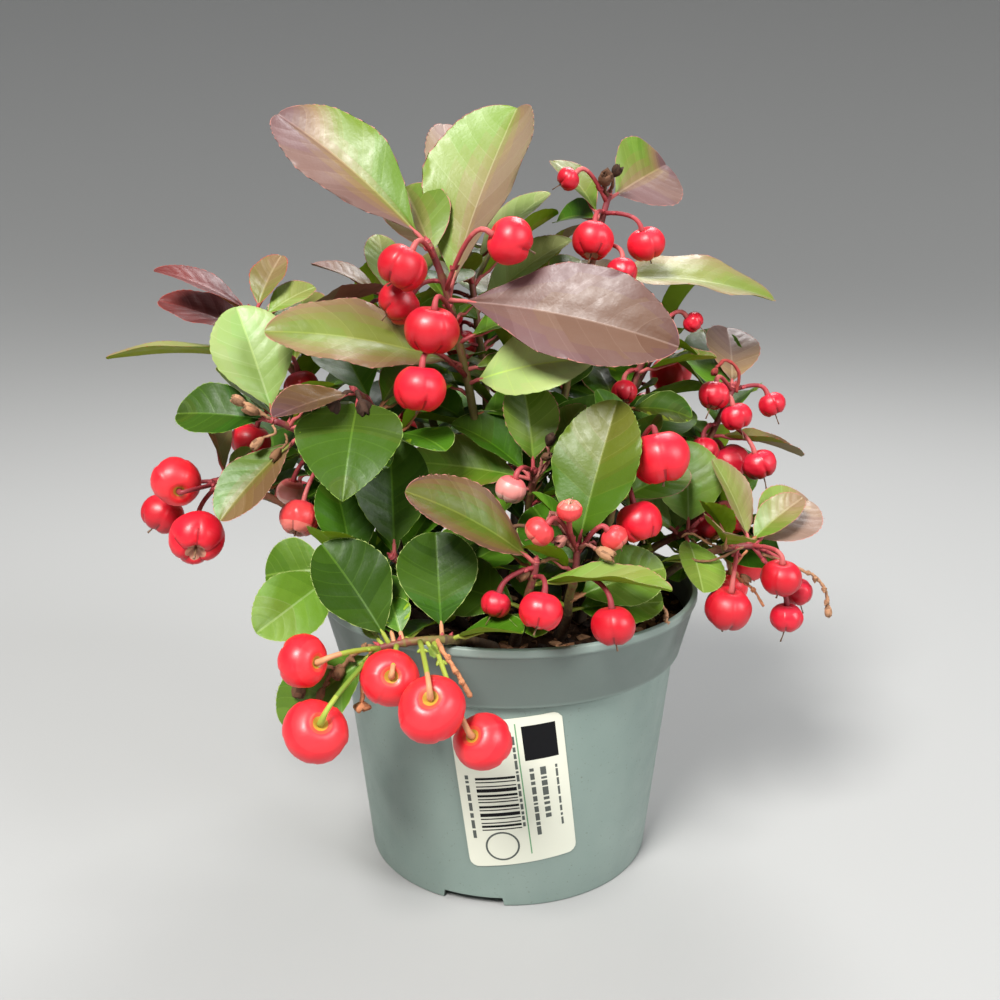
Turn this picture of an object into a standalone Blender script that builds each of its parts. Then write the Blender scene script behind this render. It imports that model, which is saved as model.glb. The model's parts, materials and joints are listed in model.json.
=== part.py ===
"""Wintergreen plant in a round nursery pot.

World frame: metres, Z up, origin on the ground under the middle of the pot,
X to the right and -Y towards the viewer. Sizes below are in millimetres.
Each shoot is one bare stem from the compost and one leafy mass above it.
"""
import math
import random

import bmesh
import bpy
from mathutils import Vector
from mathutils.bvhtree import BVHTree

MM = 0.001
GAP = 0.3                 # clearance between pieces that touch in life

# Pot: 10.5 cm round nursery pot with a collar and three feet
POT_SIDES = 48
RIM_R, POT_H = 52.5, 77.3
COLLAR_LOW_R, COLLAR_LOW_Z = 48.2, 60.3
WALL_TOP_R, FOOT_R = 46.6, 40.0
WALL, FLOOR_UNDER, FLOOR_TOP = 1.2, 2.6, 4.0
RING_W = 1.6
PAD_R = 6.0
NOTCH_W, NOTCH_FIRST_DEG, NOTCHES = 17.5, 256.0, 3
DRAIN_R, DRAIN_AT_R, DRAINS = 4.0, 26.0, 4
COMPOST_Z = 70.0

# Label on the wall of the pot
LABEL_W, LABEL_H, LABEL_CORNER = 28.3, 43.0, 2.4
LABEL_MID_ARC, LABEL_MID_Z, LABEL_TILT_DEG = 1.3, 35.4, 7.0
LABEL_THICK = 0.25

# Stems
STEM_SIDES, LIMB_RUNS, UPPER_RUNS = 5, 3, 4
FOOT_STEM_R, CUT_STEM_R, TIP_STEM_R = 1.7, 1.15, 0.85
TOP_JOINT = 0.92          # joints at the tip sit this far along the stem's last run
STALK_R, STALK_ROOT = 0.55, 0.2

# Leaves: a lens-shaped plate on a short stalk
STALK_LEAST, STALK_SHARE = 2.0, 0.04
LEAF_ROWS = (0.26, 0.66)
LEAF_HALF_THICK = 0.3
LEAF_DROOP = 0.45
LEAF_FOLD_DEG = 14.0

# Berries: flattened balls on curved stalks
BERRY_SIDES, BERRY_FLAT = 8, 0.87
BERRY_ROWS = ((0.62, 0.76), (0.0, 1.0), (-0.72, 0.68))   # height and width, as shares
KEEP_CLEAR = 0.6          # how far leaves and berries stay from what is already there
LOW_Z = 100.0             # below this the rule also grows leaves towards the viewer
TRIES = 4                 # how often the rule turns a leaf on before it gives up

# Every shoot: foot on the compost (x, y), shoulder, tip, share of its length that is bare stem,
# leaves worked out by the rule below, berries worked out by the rule.
# The last two lists are the leaves and berries that show in the photo.
# leaf:  share up the shoot, azimuth, rise, length, face turned to the front, width to length
# berry: share up the shoot, azimuth, reach, height above its joint, diameter
SHOOTS = {
    "over_rim": dict(
        foot=(-4, -34), shoulder=(-12, -56, 84), tip=(-31, -54, 78.5), bare=0.42, more=0, fruit=0,
        leaves=[(0.92, 172, 48, 29, 45, 0.78), (0.55, 105, 62, 26, 15, 0.84),
                (1.0, 198, -44, 30, 50, 0.55)],
        berries=[(1.0, 212, 19, 1, 11.8), (1.0, 232, 21, -13, 14.4), (0.88, 264, 8, -5, 13.4),
                 (0.72, 281, 20, -8, 15.0), (0.62, 306, 20, -18, 13.2)]),
    "front_mid": dict(
        foot=(13, -26), shoulder=(15, -42, 84), tip=(16, -42, 99), bare=0.35, more=3, fruit=0,
        leaves=[(0.98, 42, 60, 39, 20, 0.58), (0.52, 0, 12, 25, 48, 0.66),
                (0.40, 350, 0, 24, 35, 0.7)],
        berries=[(1.0, 219, 12, 7, 6.9), (1.0, 252, 8, 12, 5.8), (0.95, 345, 9, 5, 6.4),
                 (0.80, 298, 17, -8, 10.4)]),
    "front_low": dict(
        foot=(1, -30), shoulder=(4, -46, 84), tip=(6, -46, 97), bare=0.4, more=4, fruit=0,
        leaves=[(1.0, 205, 29, 37, 42, 0.48), (0.78, 339, 4, 34, 0, 0.36),
                (0.50, 165, 4, 25, 45, 0.7)],
        berries=[(0.95, 212, 11, -7, 7.0), (0.85, 277, 12, -4, 10.1)]),
    "front_left_inner": dict(
        foot=(-12, -18), shoulder=(-21, -26, 84), tip=(-29, -33, 94), bare=0.35, more=5, fruit=0,
        leaves=[(1.0, 96, 64, 32, 0, 0.6), (0.75, 330, 24, 24, 40, 0.55)],
        berries=[]),
    "front_left_low": dict(
        foot=(-21, -19), shoulder=(-34, -28, 86), tip=(-43, -35, 92), bare=0.4, more=3, fruit=0,
        leaves=[(0.95, 234, -28, 28, 45, 0.6), (1.0, 182, -14, 19, 60, 0.88),
                (0.80, 118, 60, 26, 0, 0.62)],
        berries=[]),
    "centre": dict(
        foot=(4, -6), shoulder=(5, -12, 103), tip=(6, -24, 114), bare=0.4, more=5, fruit=0,
        leaves=[(1.0, 108, 68, 24, 0, 0.62), (0.88, 18, 50, 24, 15, 0.6),
                (0.90, 188, 2, 32, 45, 0.5), (0.80, 205, -14, 24, 45, 0.62),
                (0.70, 60, 45, 28, 0, 0.55)],
        berries=[(1.0, 238, 11, -2, 7.6)]),
    "top_front": dict(
        foot=(-6, -10), shoulder=(-7, -11, 140), tip=(-20, -20, 170), bare=0.36, more=3, fruit=0,
        leaves=[(1.0, 172, 34, 52, 55, 0.40), (0.80, 36, 60, 53, 10, 0.60),
                (0.80, 331, -14, 59, 50, 0.46), (0.60, 203, 8, 51, 45, 0.44),
                (0.55, 322, 8, 37, 55, 0.56)],
        berries=[(0.95, 236, 12, -2, 11.9), (0.86, 195, 11, -5, 10.6), (0.75, 254, 16, -2, 12.8),
                 (0.57, 243, 23, 0, 12.8), (0.83, 331, 18, 12, 11.9)]),
    "top_back": dict(
        foot=(-3, 10), shoulder=(-6, 12, 134), tip=(-12, 18, 172), bare=0.4, more=6, fruit=2,
        leaves=[(1.0, 115, 58, 36, 5, 0.5), (0.88, 8, 40, 31, 20, 0.5), (0.74, 4, 34, 34, 30, 0.5)],
        berries=[]),
    "right_top": dict(
        foot=(9, 6), shoulder=(15, 9, 138), tip=(27, 15, 182), bare=0.4, more=4, fruit=0,
        leaves=[(1.0, 40, 12, 32, 58, 0.74), (0.76, 6, -7, 56, 20, 0.44)],
        berries=[(0.98, 205, 12, 6, 6.4), (0.95, 250, 11, -7, 11.3), (0.95, 338, 12, -8, 10.0),
                 (0.86, 300, 12, -7, 8.6)]),
    "right_inner": dict(
        foot=(17, 2), shoulder=(25, 4, 112), tip=(40, 8, 146), bare=0.4, more=4, fruit=0,
        leaves=[(0.84, 345, 10, 22, 0, 0.5)],
        berries=[(1.0, 27, 13, 3, 5.8), (0.85, 235, 8, -5, 7.1)]),
    "right_back": dict(
        foot=(27, 9), shoulder=(50, 11, 95), tip=(64, 17, 129), bare=0.5, more=4, fruit=1,
        leaves=[(1.0, 80, 40, 25, 15, 0.66), (0.80, 14, -16, 31, 0, 0.42),
                (0.66, 165, 42, 18, 25, 0.5)],
        berries=[(1.0, 229, 10, 0, 8.9), (0.95, 275, 9, -3, 8.5), (1.0, 5, 12, -4, 7.8),
                 (0.85, 240, 10, -6, 8.4), (0.88, 320, 13, -12, 9.3)]),
    "right_front": dict(
        foot=(19, -15), shoulder=(24, -20, 98), tip=(30, -24, 116), bare=0.4, more=5, fruit=0,
        leaves=[(0.72, 20, 12, 24, 40, 0.6)],
        berries=[(1.0, 307, 11, 4, 15.0), (0.93, 280, 13, -9, 11.5)]),
    "right_mid": dict(
        foot=(25, -3), shoulder=(36, -7, 90), tip=(48, -13, 95), bare=0.4, more=4, fruit=0,
        leaves=[(1.0, 93, 68, 25, 0, 0.76), (0.70, 125, 56, 27, 15, 0.62),
                (0.95, 280, -34, 21, 20, 0.66)],
        berries=[(1.0, 56, 12, -1, 8.2), (1.0, 12, 14, 3, 8.1)]),
    "right_low": dict(
        foot=(31, -9), shoulder=(47, -14, 92), tip=(64, -19, 93), bare=0.45, more=3, fruit=0,
        leaves=[(1.0, 25, 20, 23, 42, 0.78), (0.97, 145, 58, 25, 0, 0.58),
                (0.84, 230, 42, 22, 0, 0.4)],
        berries=[(1.0, 305, 10, -6, 10.3), (1.0, 5, 13, -13, 8.0), (1.0, 330, 10, -18, 8.6),
                 (0.88, 250, 12, -13, 12.3)]),
    "left_front": dict(
        foot=(-15, -11), shoulder=(-24, -6, 118), tip=(-38, -27, 135), bare=0.4, more=3, fruit=0,
        leaves=[(0.97, 267, -44, 31, 0, 0.86), (1.0, 228, -12, 25, 15, 0.5)],
        berries=[]),
    "left_mid": dict(
        foot=(-21, -5), shoulder=(-38, -14, 118), tip=(-59, -24, 127), bare=0.4, more=3, fruit=0,
        leaves=[(1.0, 162, 60, 31, 50, 0.66), (1.0, 182, -2, 26, 48, 0.6),
                (0.84, 225, -40, 31, 18, 0.48)],
        berries=[(0.70, 240, 12, -15, 10.3), (0.75, 160, 9, -13, 7.6)]),
    "left_low": dict(
        foot=(-27, -4), shoulder=(-52, -9, 102), tip=(-76, -13, 109), bare=0.4, more=4, fruit=0,
        leaves=[(0.97, 165, 70, 26, 0, 0.5)],
        berries=[(1.0, 222, 13, 2, 12.7), (0.97, 186, 17, -8, 11.0), (1.0, 255, 15, -11, 14.0)]),
    "left_back": dict(
        foot=(-19, 6), shoulder=(-44, 3, 112), tip=(-68, 0, 152), bare=0.4, more=4, fruit=1,
        leaves=[(1.0, 195, 24, 28, 20, 0.5), (0.90, 180, 14, 33, 25, 0.46),
                (1.0, 63, 48, 20, 10, 0.5), (0.97, 20, 25, 18, 30, 0.6),
                (0.90, 14, 22, 34, -10, 0.45), (0.82, 192, 4, 47, -6, 0.36)],
        berries=[(0.85, 298, 15, -6, 9.0), (0.70, 198, 17, -10, 10.7)]),
    "left_top": dict(
        foot=(-10, 7), shoulder=(-20, 9, 128), tip=(-34, 12, 155), bare=0.4, more=5, fruit=1,
        leaves=[(1.0, 168, 22, 24, 10, 0.5), (1.0, 100, 50, 22, 10, 0.5)], berries=[]),
    "middle": dict(
        foot=(-2, 1), shoulder=(-3, 3, 108), tip=(1, 6, 138), bare=0.35, more=8, fruit=1),
    "back_left_top": dict(
        foot=(-13, 17), shoulder=(-24, 28, 122), tip=(-42, 38, 146), bare=0.4, more=8, fruit=3),
    "back_top": dict(
        foot=(1, 18), shoulder=(3, 30, 130), tip=(8, 42, 160), bare=0.4, more=8, fruit=3),
    "back_right_top": dict(
        foot=(15, 15), shoulder=(28, 26, 116), tip=(46, 36, 140), bare=0.4, more=8, fruit=3),
    "back_left_low": dict(
        foot=(-23, 15), shoulder=(-46, 28, 98), tip=(-68, 36, 106), bare=0.4, more=7, fruit=3),
    "back_mid_left": dict(
        foot=(-9, 27), shoulder=(-16, 50, 96), tip=(-22, 68, 102), bare=0.4, more=7, fruit=3),
    "back_mid_right": dict(
        foot=(9, 27), shoulder=(16, 48, 100), tip=(22, 68, 108), bare=0.4, more=7, fruit=3),
    "back_right_low": dict(
        foot=(24, 17), shoulder=(44, 34, 92), tip=(62, 44, 98), bare=0.4, more=7, fruit=3),
    "right_side_low": dict(
        foot=(36, 3), shoulder=(54, 6, 86), tip=(64, 14, 88), bare=0.4, more=6, fruit=2),
}


def direction(azimuth, rise):
    """Unit vector from degrees: azimuth 0 is to the right, 270 is towards the viewer."""
    a, r = math.radians(azimuth), math.radians(rise)
    return Vector((math.cos(r) * math.cos(a), math.cos(r) * math.sin(a), math.sin(r)))


def bezier(a, b, c, t):
    return a * (1 - t) ** 2 + b * (2 * t * (1 - t)) + c * t * t


def bezier_way(a, b, c, t):
    return ((b - a) * (1 - t) + (c - b) * t).normalized()


def path_of(shoot):
    foot = Vector((*shoot["foot"], COMPOST_Z + GAP))
    return foot, Vector(shoot["shoulder"]), Vector(shoot["tip"])


def ring(middle, way, radius, sides, level=False, side=None):
    """Points of a ring round a path; a level ring lies flat on the ground."""
    way = Vector((0, 0, 1)) if level else way
    side = side or way.cross(Vector((0.35, 1, 0.1))).normalized()
    other = way.cross(side)
    return [middle + (side * math.cos(2 * math.pi * k / sides)
                      + other * math.sin(2 * math.pi * k / sides)) * radius
            for k in range(sides)]


def tube(rings):
    """Closed solid through a list of rings, as (points, faces)."""
    n = len(rings[0])
    points = [p for r in rings for p in r]
    faces = [tuple(reversed(range(n)))]
    for i in range(len(rings) - 1):
        for k in range(n):
            a, b = i * n + k, i * n + (k + 1) % n
            faces.append((a, b, b + n, a + n))
    last = (len(rings) - 1) * n
    faces.append(tuple(range(last, last + n)))
    return points, faces


def leaf(joint, azimuth, rise, length, turn, width, grow=0.0, start=0.0):
    """Leaf blade on its stalk as one closed solid; grow and start make a larger stand-in."""
    way = direction(azimuth, rise + math.degrees(LEAF_DROOP) / 2)
    level = way.cross(Vector((0, 0, 1)))
    level = level.normalized() if level.length > 0.05 else Vector((1, 0, 0))
    if level.dot(Vector((0.2, -1, 0))) < 0:
        level = -level
    face = level.cross(way)
    if face.z < 0:
        face = -face
    t = math.radians(turn)
    face, side = (face * math.cos(t) + level * math.sin(t),
                  level * math.cos(t) - face * math.sin(t))
    stalk = STALK_LEAST + length * STALK_SHARE
    root = joint - way * STALK_ROOT
    foot = joint + way * stalk
    blade = length - stalk
    bend = LEAF_DROOP / blade
    fold = math.radians(LEAF_FOLD_DEG)

    def diamond(middle, normal, half, lift, thick):
        out = side * half
        return [middle - out + normal * lift, middle - normal * thick,
                middle + out + normal * lift, middle + normal * thick]

    r = STALK_R + grow
    sections = [diamond(root + (foot - root) * start, face, r, 0, r), diamond(foot, face, r, 0, r)]
    for s in LEAF_ROWS + (1.0,):
        d = blade * s
        along, down = math.sin(bend * d) / bend, (1 - math.cos(bend * d)) / bend
        middle = foot + way * along - face * down
        normal = face * math.cos(bend * d) + way * math.sin(bend * d)
        half = 0.5 * width * length * max(0.0, math.sin(math.pi * s ** 1.1)) ** 0.75 + grow
        if s < 1:
            sections.append(diamond(middle, normal, half * math.cos(fold),
                                    half * math.sin(fold), LEAF_HALF_THICK + grow))
    points = [p for section in sections for p in section] + [middle + way * grow]
    tip, faces = len(points) - 1, [(3, 2, 1, 0)]
    for i in range(len(sections)):
        for k in range(4):
            a, b = 4 * i + k, 4 * i + (k + 1) % 4
            faces.append((a, b, b + 4, a + 4) if i < len(sections) - 1 else (a, b, tip))
    return points, faces


def berry(joint, azimuth, reach, height, size, grow=0.0, start=0.0):
    """Hanging berry on its curved stalk as one closed solid."""
    out = direction(azimuth, 0)
    middle = joint + out * reach + Vector((0, 0, height))
    up = (Vector((0, 0, 1.6)) + (joint - middle).normalized()).normalized()
    top = middle + up * (0.5 * BERRY_FLAT * size)
    arch = top + (up + Vector((0, 0, 0.6))).normalized() * (0.30 * reach + 1.0)
    root = joint - (arch - joint).normalized() * STALK_ROOT
    across = (arch - root).cross(top - arch).normalized()
    rings = [ring(bezier(root, arch, top, t), bezier_way(root, arch, top, t), STALK_R + grow, 3,
                  side=across) for t in (start, 0.3 + 0.5 * start, 0.65 + 0.2 * start, 1)]
    points = [p for r in rings for p in r]
    faces = [(2, 1, 0)]
    for i in range(3):
        for k in range(3):
            a, b = 3 * i + k, 3 * i + (k + 1) % 3
            faces.append((a, b, b + 3, a + 3))
    last = rings[-1]
    axis = -up
    side = (last[0] - top - axis * (last[0] - top).dot(axis)).normalized()
    other = axis.cross(side)
    if (last[1] - top).dot(other) < 0:
        other = -other
    r, n, first = size / 2 + grow, BERRY_SIDES, len(points)
    for lat, wide in BERRY_ROWS:
        points += [middle + up * (r * BERRY_FLAT * lat) + (side * math.cos(a) + other * math.sin(a))
                   * (r * wide) for a in (2 * math.pi * k / n for k in range(n))]
    points.append(middle - up * (r * BERRY_FLAT))
    top_row = [9, 10, 11]
    k = 0
    for i in range(n):
        faces.append((top_row[k], first + i, first + (i + 1) % n))
        nxt = (k + 1) % 3
        if (i + 1) / n >= (k + 1) / 3 - 0.5 / n and k < 3 and (i + 1) / n < (k + 1) / 3 + 0.5 / n:
            faces.append((top_row[k], first + (i + 1) % n, top_row[nxt]))
            k = nxt
    rows = len(BERRY_ROWS)
    for row in range(rows - 1):
        for i in range(n):
            a, b = first + row * n + i, first + row * n + (i + 1) % n
            faces.append((a, a + n, b + n, b))
    low = first + (rows - 1) * n
    faces += [(low + i, len(points) - 1, low + (i + 1) % n) for i in range(n)]
    return points, faces


def solid_tree(solid):
    return BVHTree.FromPolygons([tuple(p) for p in solid[0]], solid[1])


def joint_on(shoot, share):
    """Point of the leafy stem at a share of the path, on the straight runs it is built of."""
    path, cut = path_of(shoot), shoot["bare"]
    run = (share - cut) / (1 - cut) * UPPER_RUNS
    i = min(int(run), UPPER_RUNS - 1)
    ends = [bezier(*path, cut + (1 - cut) * (i + k) / UPPER_RUNS) for k in (0, 1)]
    return ends[0].lerp(ends[1], min(run - i, TOP_JOINT) if i == UPPER_RUNS - 1 else run - i)


def stem_tube(path, start, end, runs):
    """Tapering stem between two shares of its path."""
    rings = []
    for i in range(runs + 1):
        t = start + (end - start) * i / runs
        r = CUT_STEM_R + (FOOT_STEM_R - CUT_STEM_R) * max(0.0, 1 - t / 0.3) ** 1.5
        if t > 0.4:
            r = CUT_STEM_R + (TIP_STEM_R - CUT_STEM_R) * (t - 0.4) / 0.6
        rings.append(ring(bezier(*path, t), bezier_way(*path, t), r, STEM_SIDES, level=t == 0))
    return tube(rings)


def lathe(profile, sides):
    """Solid of revolution; the profile runs from the axis back to the axis."""
    inner = profile[1:-1]
    points = [Vector((0, 0, profile[0][1]))]
    for k in range(sides):
        a = 2 * math.pi * k / sides
        points += [Vector((r * math.cos(a), r * math.sin(a), z)) for r, z in inner]
    points.append(Vector((0, 0, profile[-1][1])))
    n, last, faces = len(inner), len(points) - 1, []
    for k in range(sides):
        a, b = 1 + k * n, 1 + (k + 1) % sides * n
        faces.append((0, b, a))
        faces += [(a + i, b + i, b + i + 1, a + i + 1) for i in range(n - 1)]
        faces.append((a + n - 1, b + n - 1, last))
    return points, faces


def wall_radius(z):
    return FOOT_R + (WALL_TOP_R - FOOT_R) * z / COLLAR_LOW_Z


def make(name, solid, material=None):
    """Blender object, in metres, from a solid in millimetres."""
    mesh = bpy.data.meshes.new(name)
    mesh.from_pydata([tuple(p * MM) for p in solid[0]], [], solid[1])
    bm = bmesh.new()
    bm.from_mesh(mesh)
    bmesh.ops.recalc_face_normals(bm, faces=bm.faces)
    bm.to_mesh(mesh)
    bm.free()
    obj = bpy.data.objects.new(name, mesh)
    bpy.context.scene.collection.objects.link(obj)
    if material:
        mesh.materials.append(material)
    return obj


def boolean(obj, others, operation, solver="MANIFOLD"):
    """Join or cut with a collection of objects, apply, and drop them."""
    group = bpy.data.collections.new("parts_of_" + obj.name)
    bpy.context.scene.collection.children.link(group)
    for other in others:
        group.objects.link(other)
    mod = obj.modifiers.new("join", "BOOLEAN")
    mod.operation, mod.operand_type, mod.collection, mod.solver = (
        operation, "COLLECTION", group, solver)
    graph = bpy.context.evaluated_depsgraph_get()
    mesh = bpy.data.meshes.new_from_object(obj.evaluated_get(graph))
    obj.modifiers.clear()
    obj.data = mesh
    for other in others:
        bpy.data.objects.remove(other)
    bpy.data.collections.remove(group)


def bodies_of(bm):
    """Groups of faces that hang together by their edges, smallest first."""
    bodies, seen = [], set()
    for face in bm.faces:
        if face not in seen:
            body, todo = [], [face]
            seen.add(face)
            while todo:
                f = todo.pop()
                body.append(f)
                near = {g for e in f.edges for g in e.link_faces} - seen
                todo += near
                seen |= near
            bodies.append(body)
    return sorted(bodies, key=len)


def closed(bm):
    return (all(len(e.link_faces) == 2 for e in bm.edges)
            and all(v.is_manifold for v in bm.verts))


def clean(obj, material):
    """Triangles, doubled points merged as far as the surface stays closed; True if it is."""
    for merge in (0.03, 0.01, 0.003, 0.0):
        bm = bmesh.new()
        bm.from_mesh(obj.data)
        if merge:
            bmesh.ops.remove_doubles(bm, verts=bm.verts, dist=merge * MM)
            bmesh.ops.dissolve_degenerate(bm, edges=bm.edges, dist=merge * MM * 0.5)
        bmesh.ops.triangulate(bm, faces=bm.faces)
        bodies = bodies_of(bm)
        scraps = [f for body in bodies[:-1] for f in body]
        bmesh.ops.delete(bm, geom=scraps, context="FACES")
        bmesh.ops.delete(bm, geom=[v for v in bm.verts if not v.link_faces], context="VERTS")
        good = closed(bm) and len(scraps) < 0.1 * len(bm.faces)
        if good or not merge:
            break
        bm.free()
    bm.to_mesh(obj.data)
    bm.free()
    obj.data.materials.clear()
    obj.data.materials.append(material)
    return good


def plain(name, colour, roughness):
    mat = bpy.data.materials.new(name)
    mat.use_nodes = True
    shader = mat.node_tree.nodes["Principled BSDF"]
    shader.inputs["Base Color"].default_value = (*colour, 1)
    shader.inputs["Roughness"].default_value = roughness
    shader.inputs["Metallic"].default_value = 0.0
    return mat


def pot_solid():
    """Pot with collar, floor, foot ring and a middle pad that reaches the ground."""
    low_in = WALL_TOP_R - WALL
    return lathe([
        (0, 0), (PAD_R, 0), (PAD_R + 0.6, FLOOR_UNDER), (FOOT_R - RING_W, FLOOR_UNDER),
        (FOOT_R - RING_W, 0), (FOOT_R, 0), (WALL_TOP_R, COLLAR_LOW_Z),
        (COLLAR_LOW_R, COLLAR_LOW_Z), (RIM_R - 0.6, POT_H - 1.2), (RIM_R, POT_H - 0.7),
        (RIM_R - 0.3, POT_H), (RIM_R - 1.5, POT_H), (RIM_R - 1.6, POT_H - 1.0),
        (COLLAR_LOW_R - WALL, COLLAR_LOW_Z + 1.4), (low_in, COLLAR_LOW_Z + 0.2),
        (FOOT_R - 0.8, FLOOR_TOP), (0, FLOOR_TOP)], POT_SIDES)


def compost_solid():
    """Compost that fills the pot to a little under the rim."""
    side = (RIM_R - 1.6) - (COLLAR_LOW_R - WALL)
    share = (COMPOST_Z - COLLAR_LOW_Z - 1.4) / (POT_H - 1.0 - COLLAR_LOW_Z - 1.4)
    top_r = COLLAR_LOW_R - WALL + side * share - GAP - 0.05
    return lathe([
        (0, FLOOR_TOP + GAP), (FOOT_R - 0.8 - GAP - 0.1, FLOOR_TOP + GAP),
        (WALL_TOP_R - WALL - GAP - 0.1, COLLAR_LOW_Z + 0.2),
        (COLLAR_LOW_R - WALL - GAP - 0.1, COLLAR_LOW_Z + 1.7),
        (top_r, COMPOST_Z), (0, COMPOST_Z)], POT_SIDES)


def label_solid():
    """Thin sheet bent round the wall, with rounded corners."""
    half_w, half_h, corner = LABEL_W / 2, LABEL_H / 2, LABEL_CORNER
    across = [-half_w, -half_w + 0.3 * corner, -half_w + corner]
    across += [(-half_w + corner) * (1 - k / 3) for k in (1, 2, 3)]
    across += [-u for u in reversed(across[:-1])]
    tilt = math.radians(LABEL_TILT_DEG)
    rows, layers = 5, []
    for off in (GAP, GAP + LABEL_THICK):
        for u in across:
            into = max(0.0, abs(u) - (half_w - corner))
            reach = half_h - corner + math.sqrt(max(0.0, corner ** 2 - into ** 2))
            for k in range(rows):
                v = reach * (2 * k / (rows - 1) - 1)
                arc = LABEL_MID_ARC + u * math.cos(tilt) - v * math.sin(tilt)
                z = LABEL_MID_Z + u * math.sin(tilt) + v * math.cos(tilt)
                r = wall_radius(z)
                a = math.radians(270) + arc / r
                layers.append(Vector(((r + off) * math.cos(a), (r + off) * math.sin(a), z)))
    cols = len(across)
    n = cols * rows
    faces = []
    for c in range(cols - 1):
        for k in range(rows - 1):
            a = c * rows + k
            faces.append((a, a + 1, a + rows + 1, a + rows))
            faces.append((n + a, n + a + rows, n + a + rows + 1, n + a + 1))
    edge = [c * rows for c in range(cols)] + [(cols - 1) * rows + k for k in range(1, rows)]
    edge += [c * rows + rows - 1 for c in reversed(range(cols - 1))]
    edge += [k for k in reversed(range(1, rows - 1))]
    for i, a in enumerate(edge):
        b = edge[(i + 1) % len(edge)]
        faces.append((a, b, n + b, n + a))
    return layers, faces


def rule_leaf(shoot, i, tries, rng):
    """The rule's i-th leaf on a shoot: golden angle round it, rising towards its tip."""
    foot, shoulder, tip = path_of(shoot)
    out = math.degrees(math.atan2(tip.y - foot.y, tip.x - foot.x))
    bare, count = shoot["bare"], shoot["more"]
    shown = bool(shoot.get("leaves"))
    share = bare + 0.10 + (0.90 - bare) * ((i + 0.4) / count if shown else (i + 1) / count)
    share = min(share + rng.uniform(-0.05, 0.05), 1.0)
    azimuth = out + 137.5 * i + 47 * tries + rng.uniform(-15, 15)
    height = bezier(foot, shoulder, tip, share).z
    if shown and height > LOW_Z and math.sin(math.radians(azimuth)) < 0:
        azimuth = -azimuth
    rise = 2 + 50 * (share - bare) / (1 - bare) + rng.uniform(-14, 12)
    length = rng.uniform(26, 36) - 5 * max(0.0, share - 0.8) / 0.2 - 2 * tries
    turn = rng.uniform(-20, 20)
    if shown and math.sin(math.radians(azimuth)) < 0.3:
        turn = rng.uniform(15, 45)
    return share, azimuth, rise, length, turn, rng.uniform(0.52, 0.66)


def rule_berry(shoot, rng):
    """One nodding berry of the rule, on the outer side of its shoot."""
    foot, _, tip = path_of(shoot)
    out = math.degrees(math.atan2(tip.y - foot.y, tip.x - foot.x))
    share = rng.uniform(shoot["bare"] + 0.2, 1.0)
    azimuth = out + rng.uniform(-110, 110)
    if shoot.get("leaves") and math.sin(math.radians(azimuth)) < 0:
        azimuth = -azimuth
    return share, azimuth, rng.uniform(10, 14), rng.uniform(-10, -3), rng.uniform(9.5, 13.0)


def grow_plant():
    """Work out every leaf and berry; one that would touch what is there is skipped."""
    stems, fixed = {}, [solid_tree(pot_solid()), solid_tree(compost_solid())]
    for name, shoot in SHOOTS.items():
        path = path_of(shoot)
        cut = shoot["bare"]
        step = GAP / (path[2] - path[0]).length
        stems[name] = (stem_tube(path, 0, cut, LIMB_RUNS),
                       stem_tube(path, cut + step, 1, UPPER_RUNS))
        whole = stem_tube(path, 0, 1, 8)
        shoot["tree"] = solid_tree(whole)
    kept = {name: [] for name in SHOOTS}
    placed, skipped = [], []

    def place(name, kind, row):
        shoot = SHOOTS[name]
        joint = joint_on(shoot, row[0])
        maker = leaf if kind == "leaf" else berry
        whole = [solid_tree(maker(joint, *row[1:], grow=KEEP_CLEAR))]
        away = [solid_tree(maker(joint, *row[1:], grow=KEEP_CLEAR / 2, start=0.8))]
        blocks = [("pot", None, [tree]) for tree in fixed]
        blocks += [("stem " + other, other, [s["tree"]]) for other, s in SHOOTS.items()]
        for label, other, trees in blocks + placed:
            test = away if other == name else whole
            if any(t.overlap(u) for t in test for u in trees):
                skipped.append((name, kind, row, label))
                return False
        label = "%s %s %d" % (kind, name, len(kept[name]))
        solid = maker(joint, *row[1:])
        placed.append((label, name, [solid_tree(solid)]))
        kept[name].append((kind, solid, row))
        return True

    for kind, rows in (("leaf", "leaves"), ("berry", "berries")):
        for name, shoot in SHOOTS.items():
            for row in shoot.get(rows, []):
                place(name, kind, row)
    for seed, (name, shoot) in enumerate(SHOOTS.items()):
        rng = random.Random(seed + 1)
        for i in range(shoot["fruit"]):
            any(place(name, "berry", rule_berry(shoot, rng)) for _ in range(TRIES))
        for i in range(shoot["more"]):
            any(place(name, "leaf", rule_leaf(shoot, i, t, rng)) for t in range(TRIES))
    return stems, kept, skipped


for old in list(bpy.data.objects):
    bpy.data.objects.remove(old)

plastic = plain("pot_plastic", (0.27, 0.34, 0.31), 0.45)
earth = plain("compost_dark", (0.035, 0.022, 0.015), 0.95)
paper = plain("label_paper", (0.80, 0.79, 0.70), 0.6)
bark = plain("stem_bark", (0.24, 0.12, 0.06), 0.7)
green = plain("leaf_green", (0.10, 0.22, 0.04), 0.4)

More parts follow.
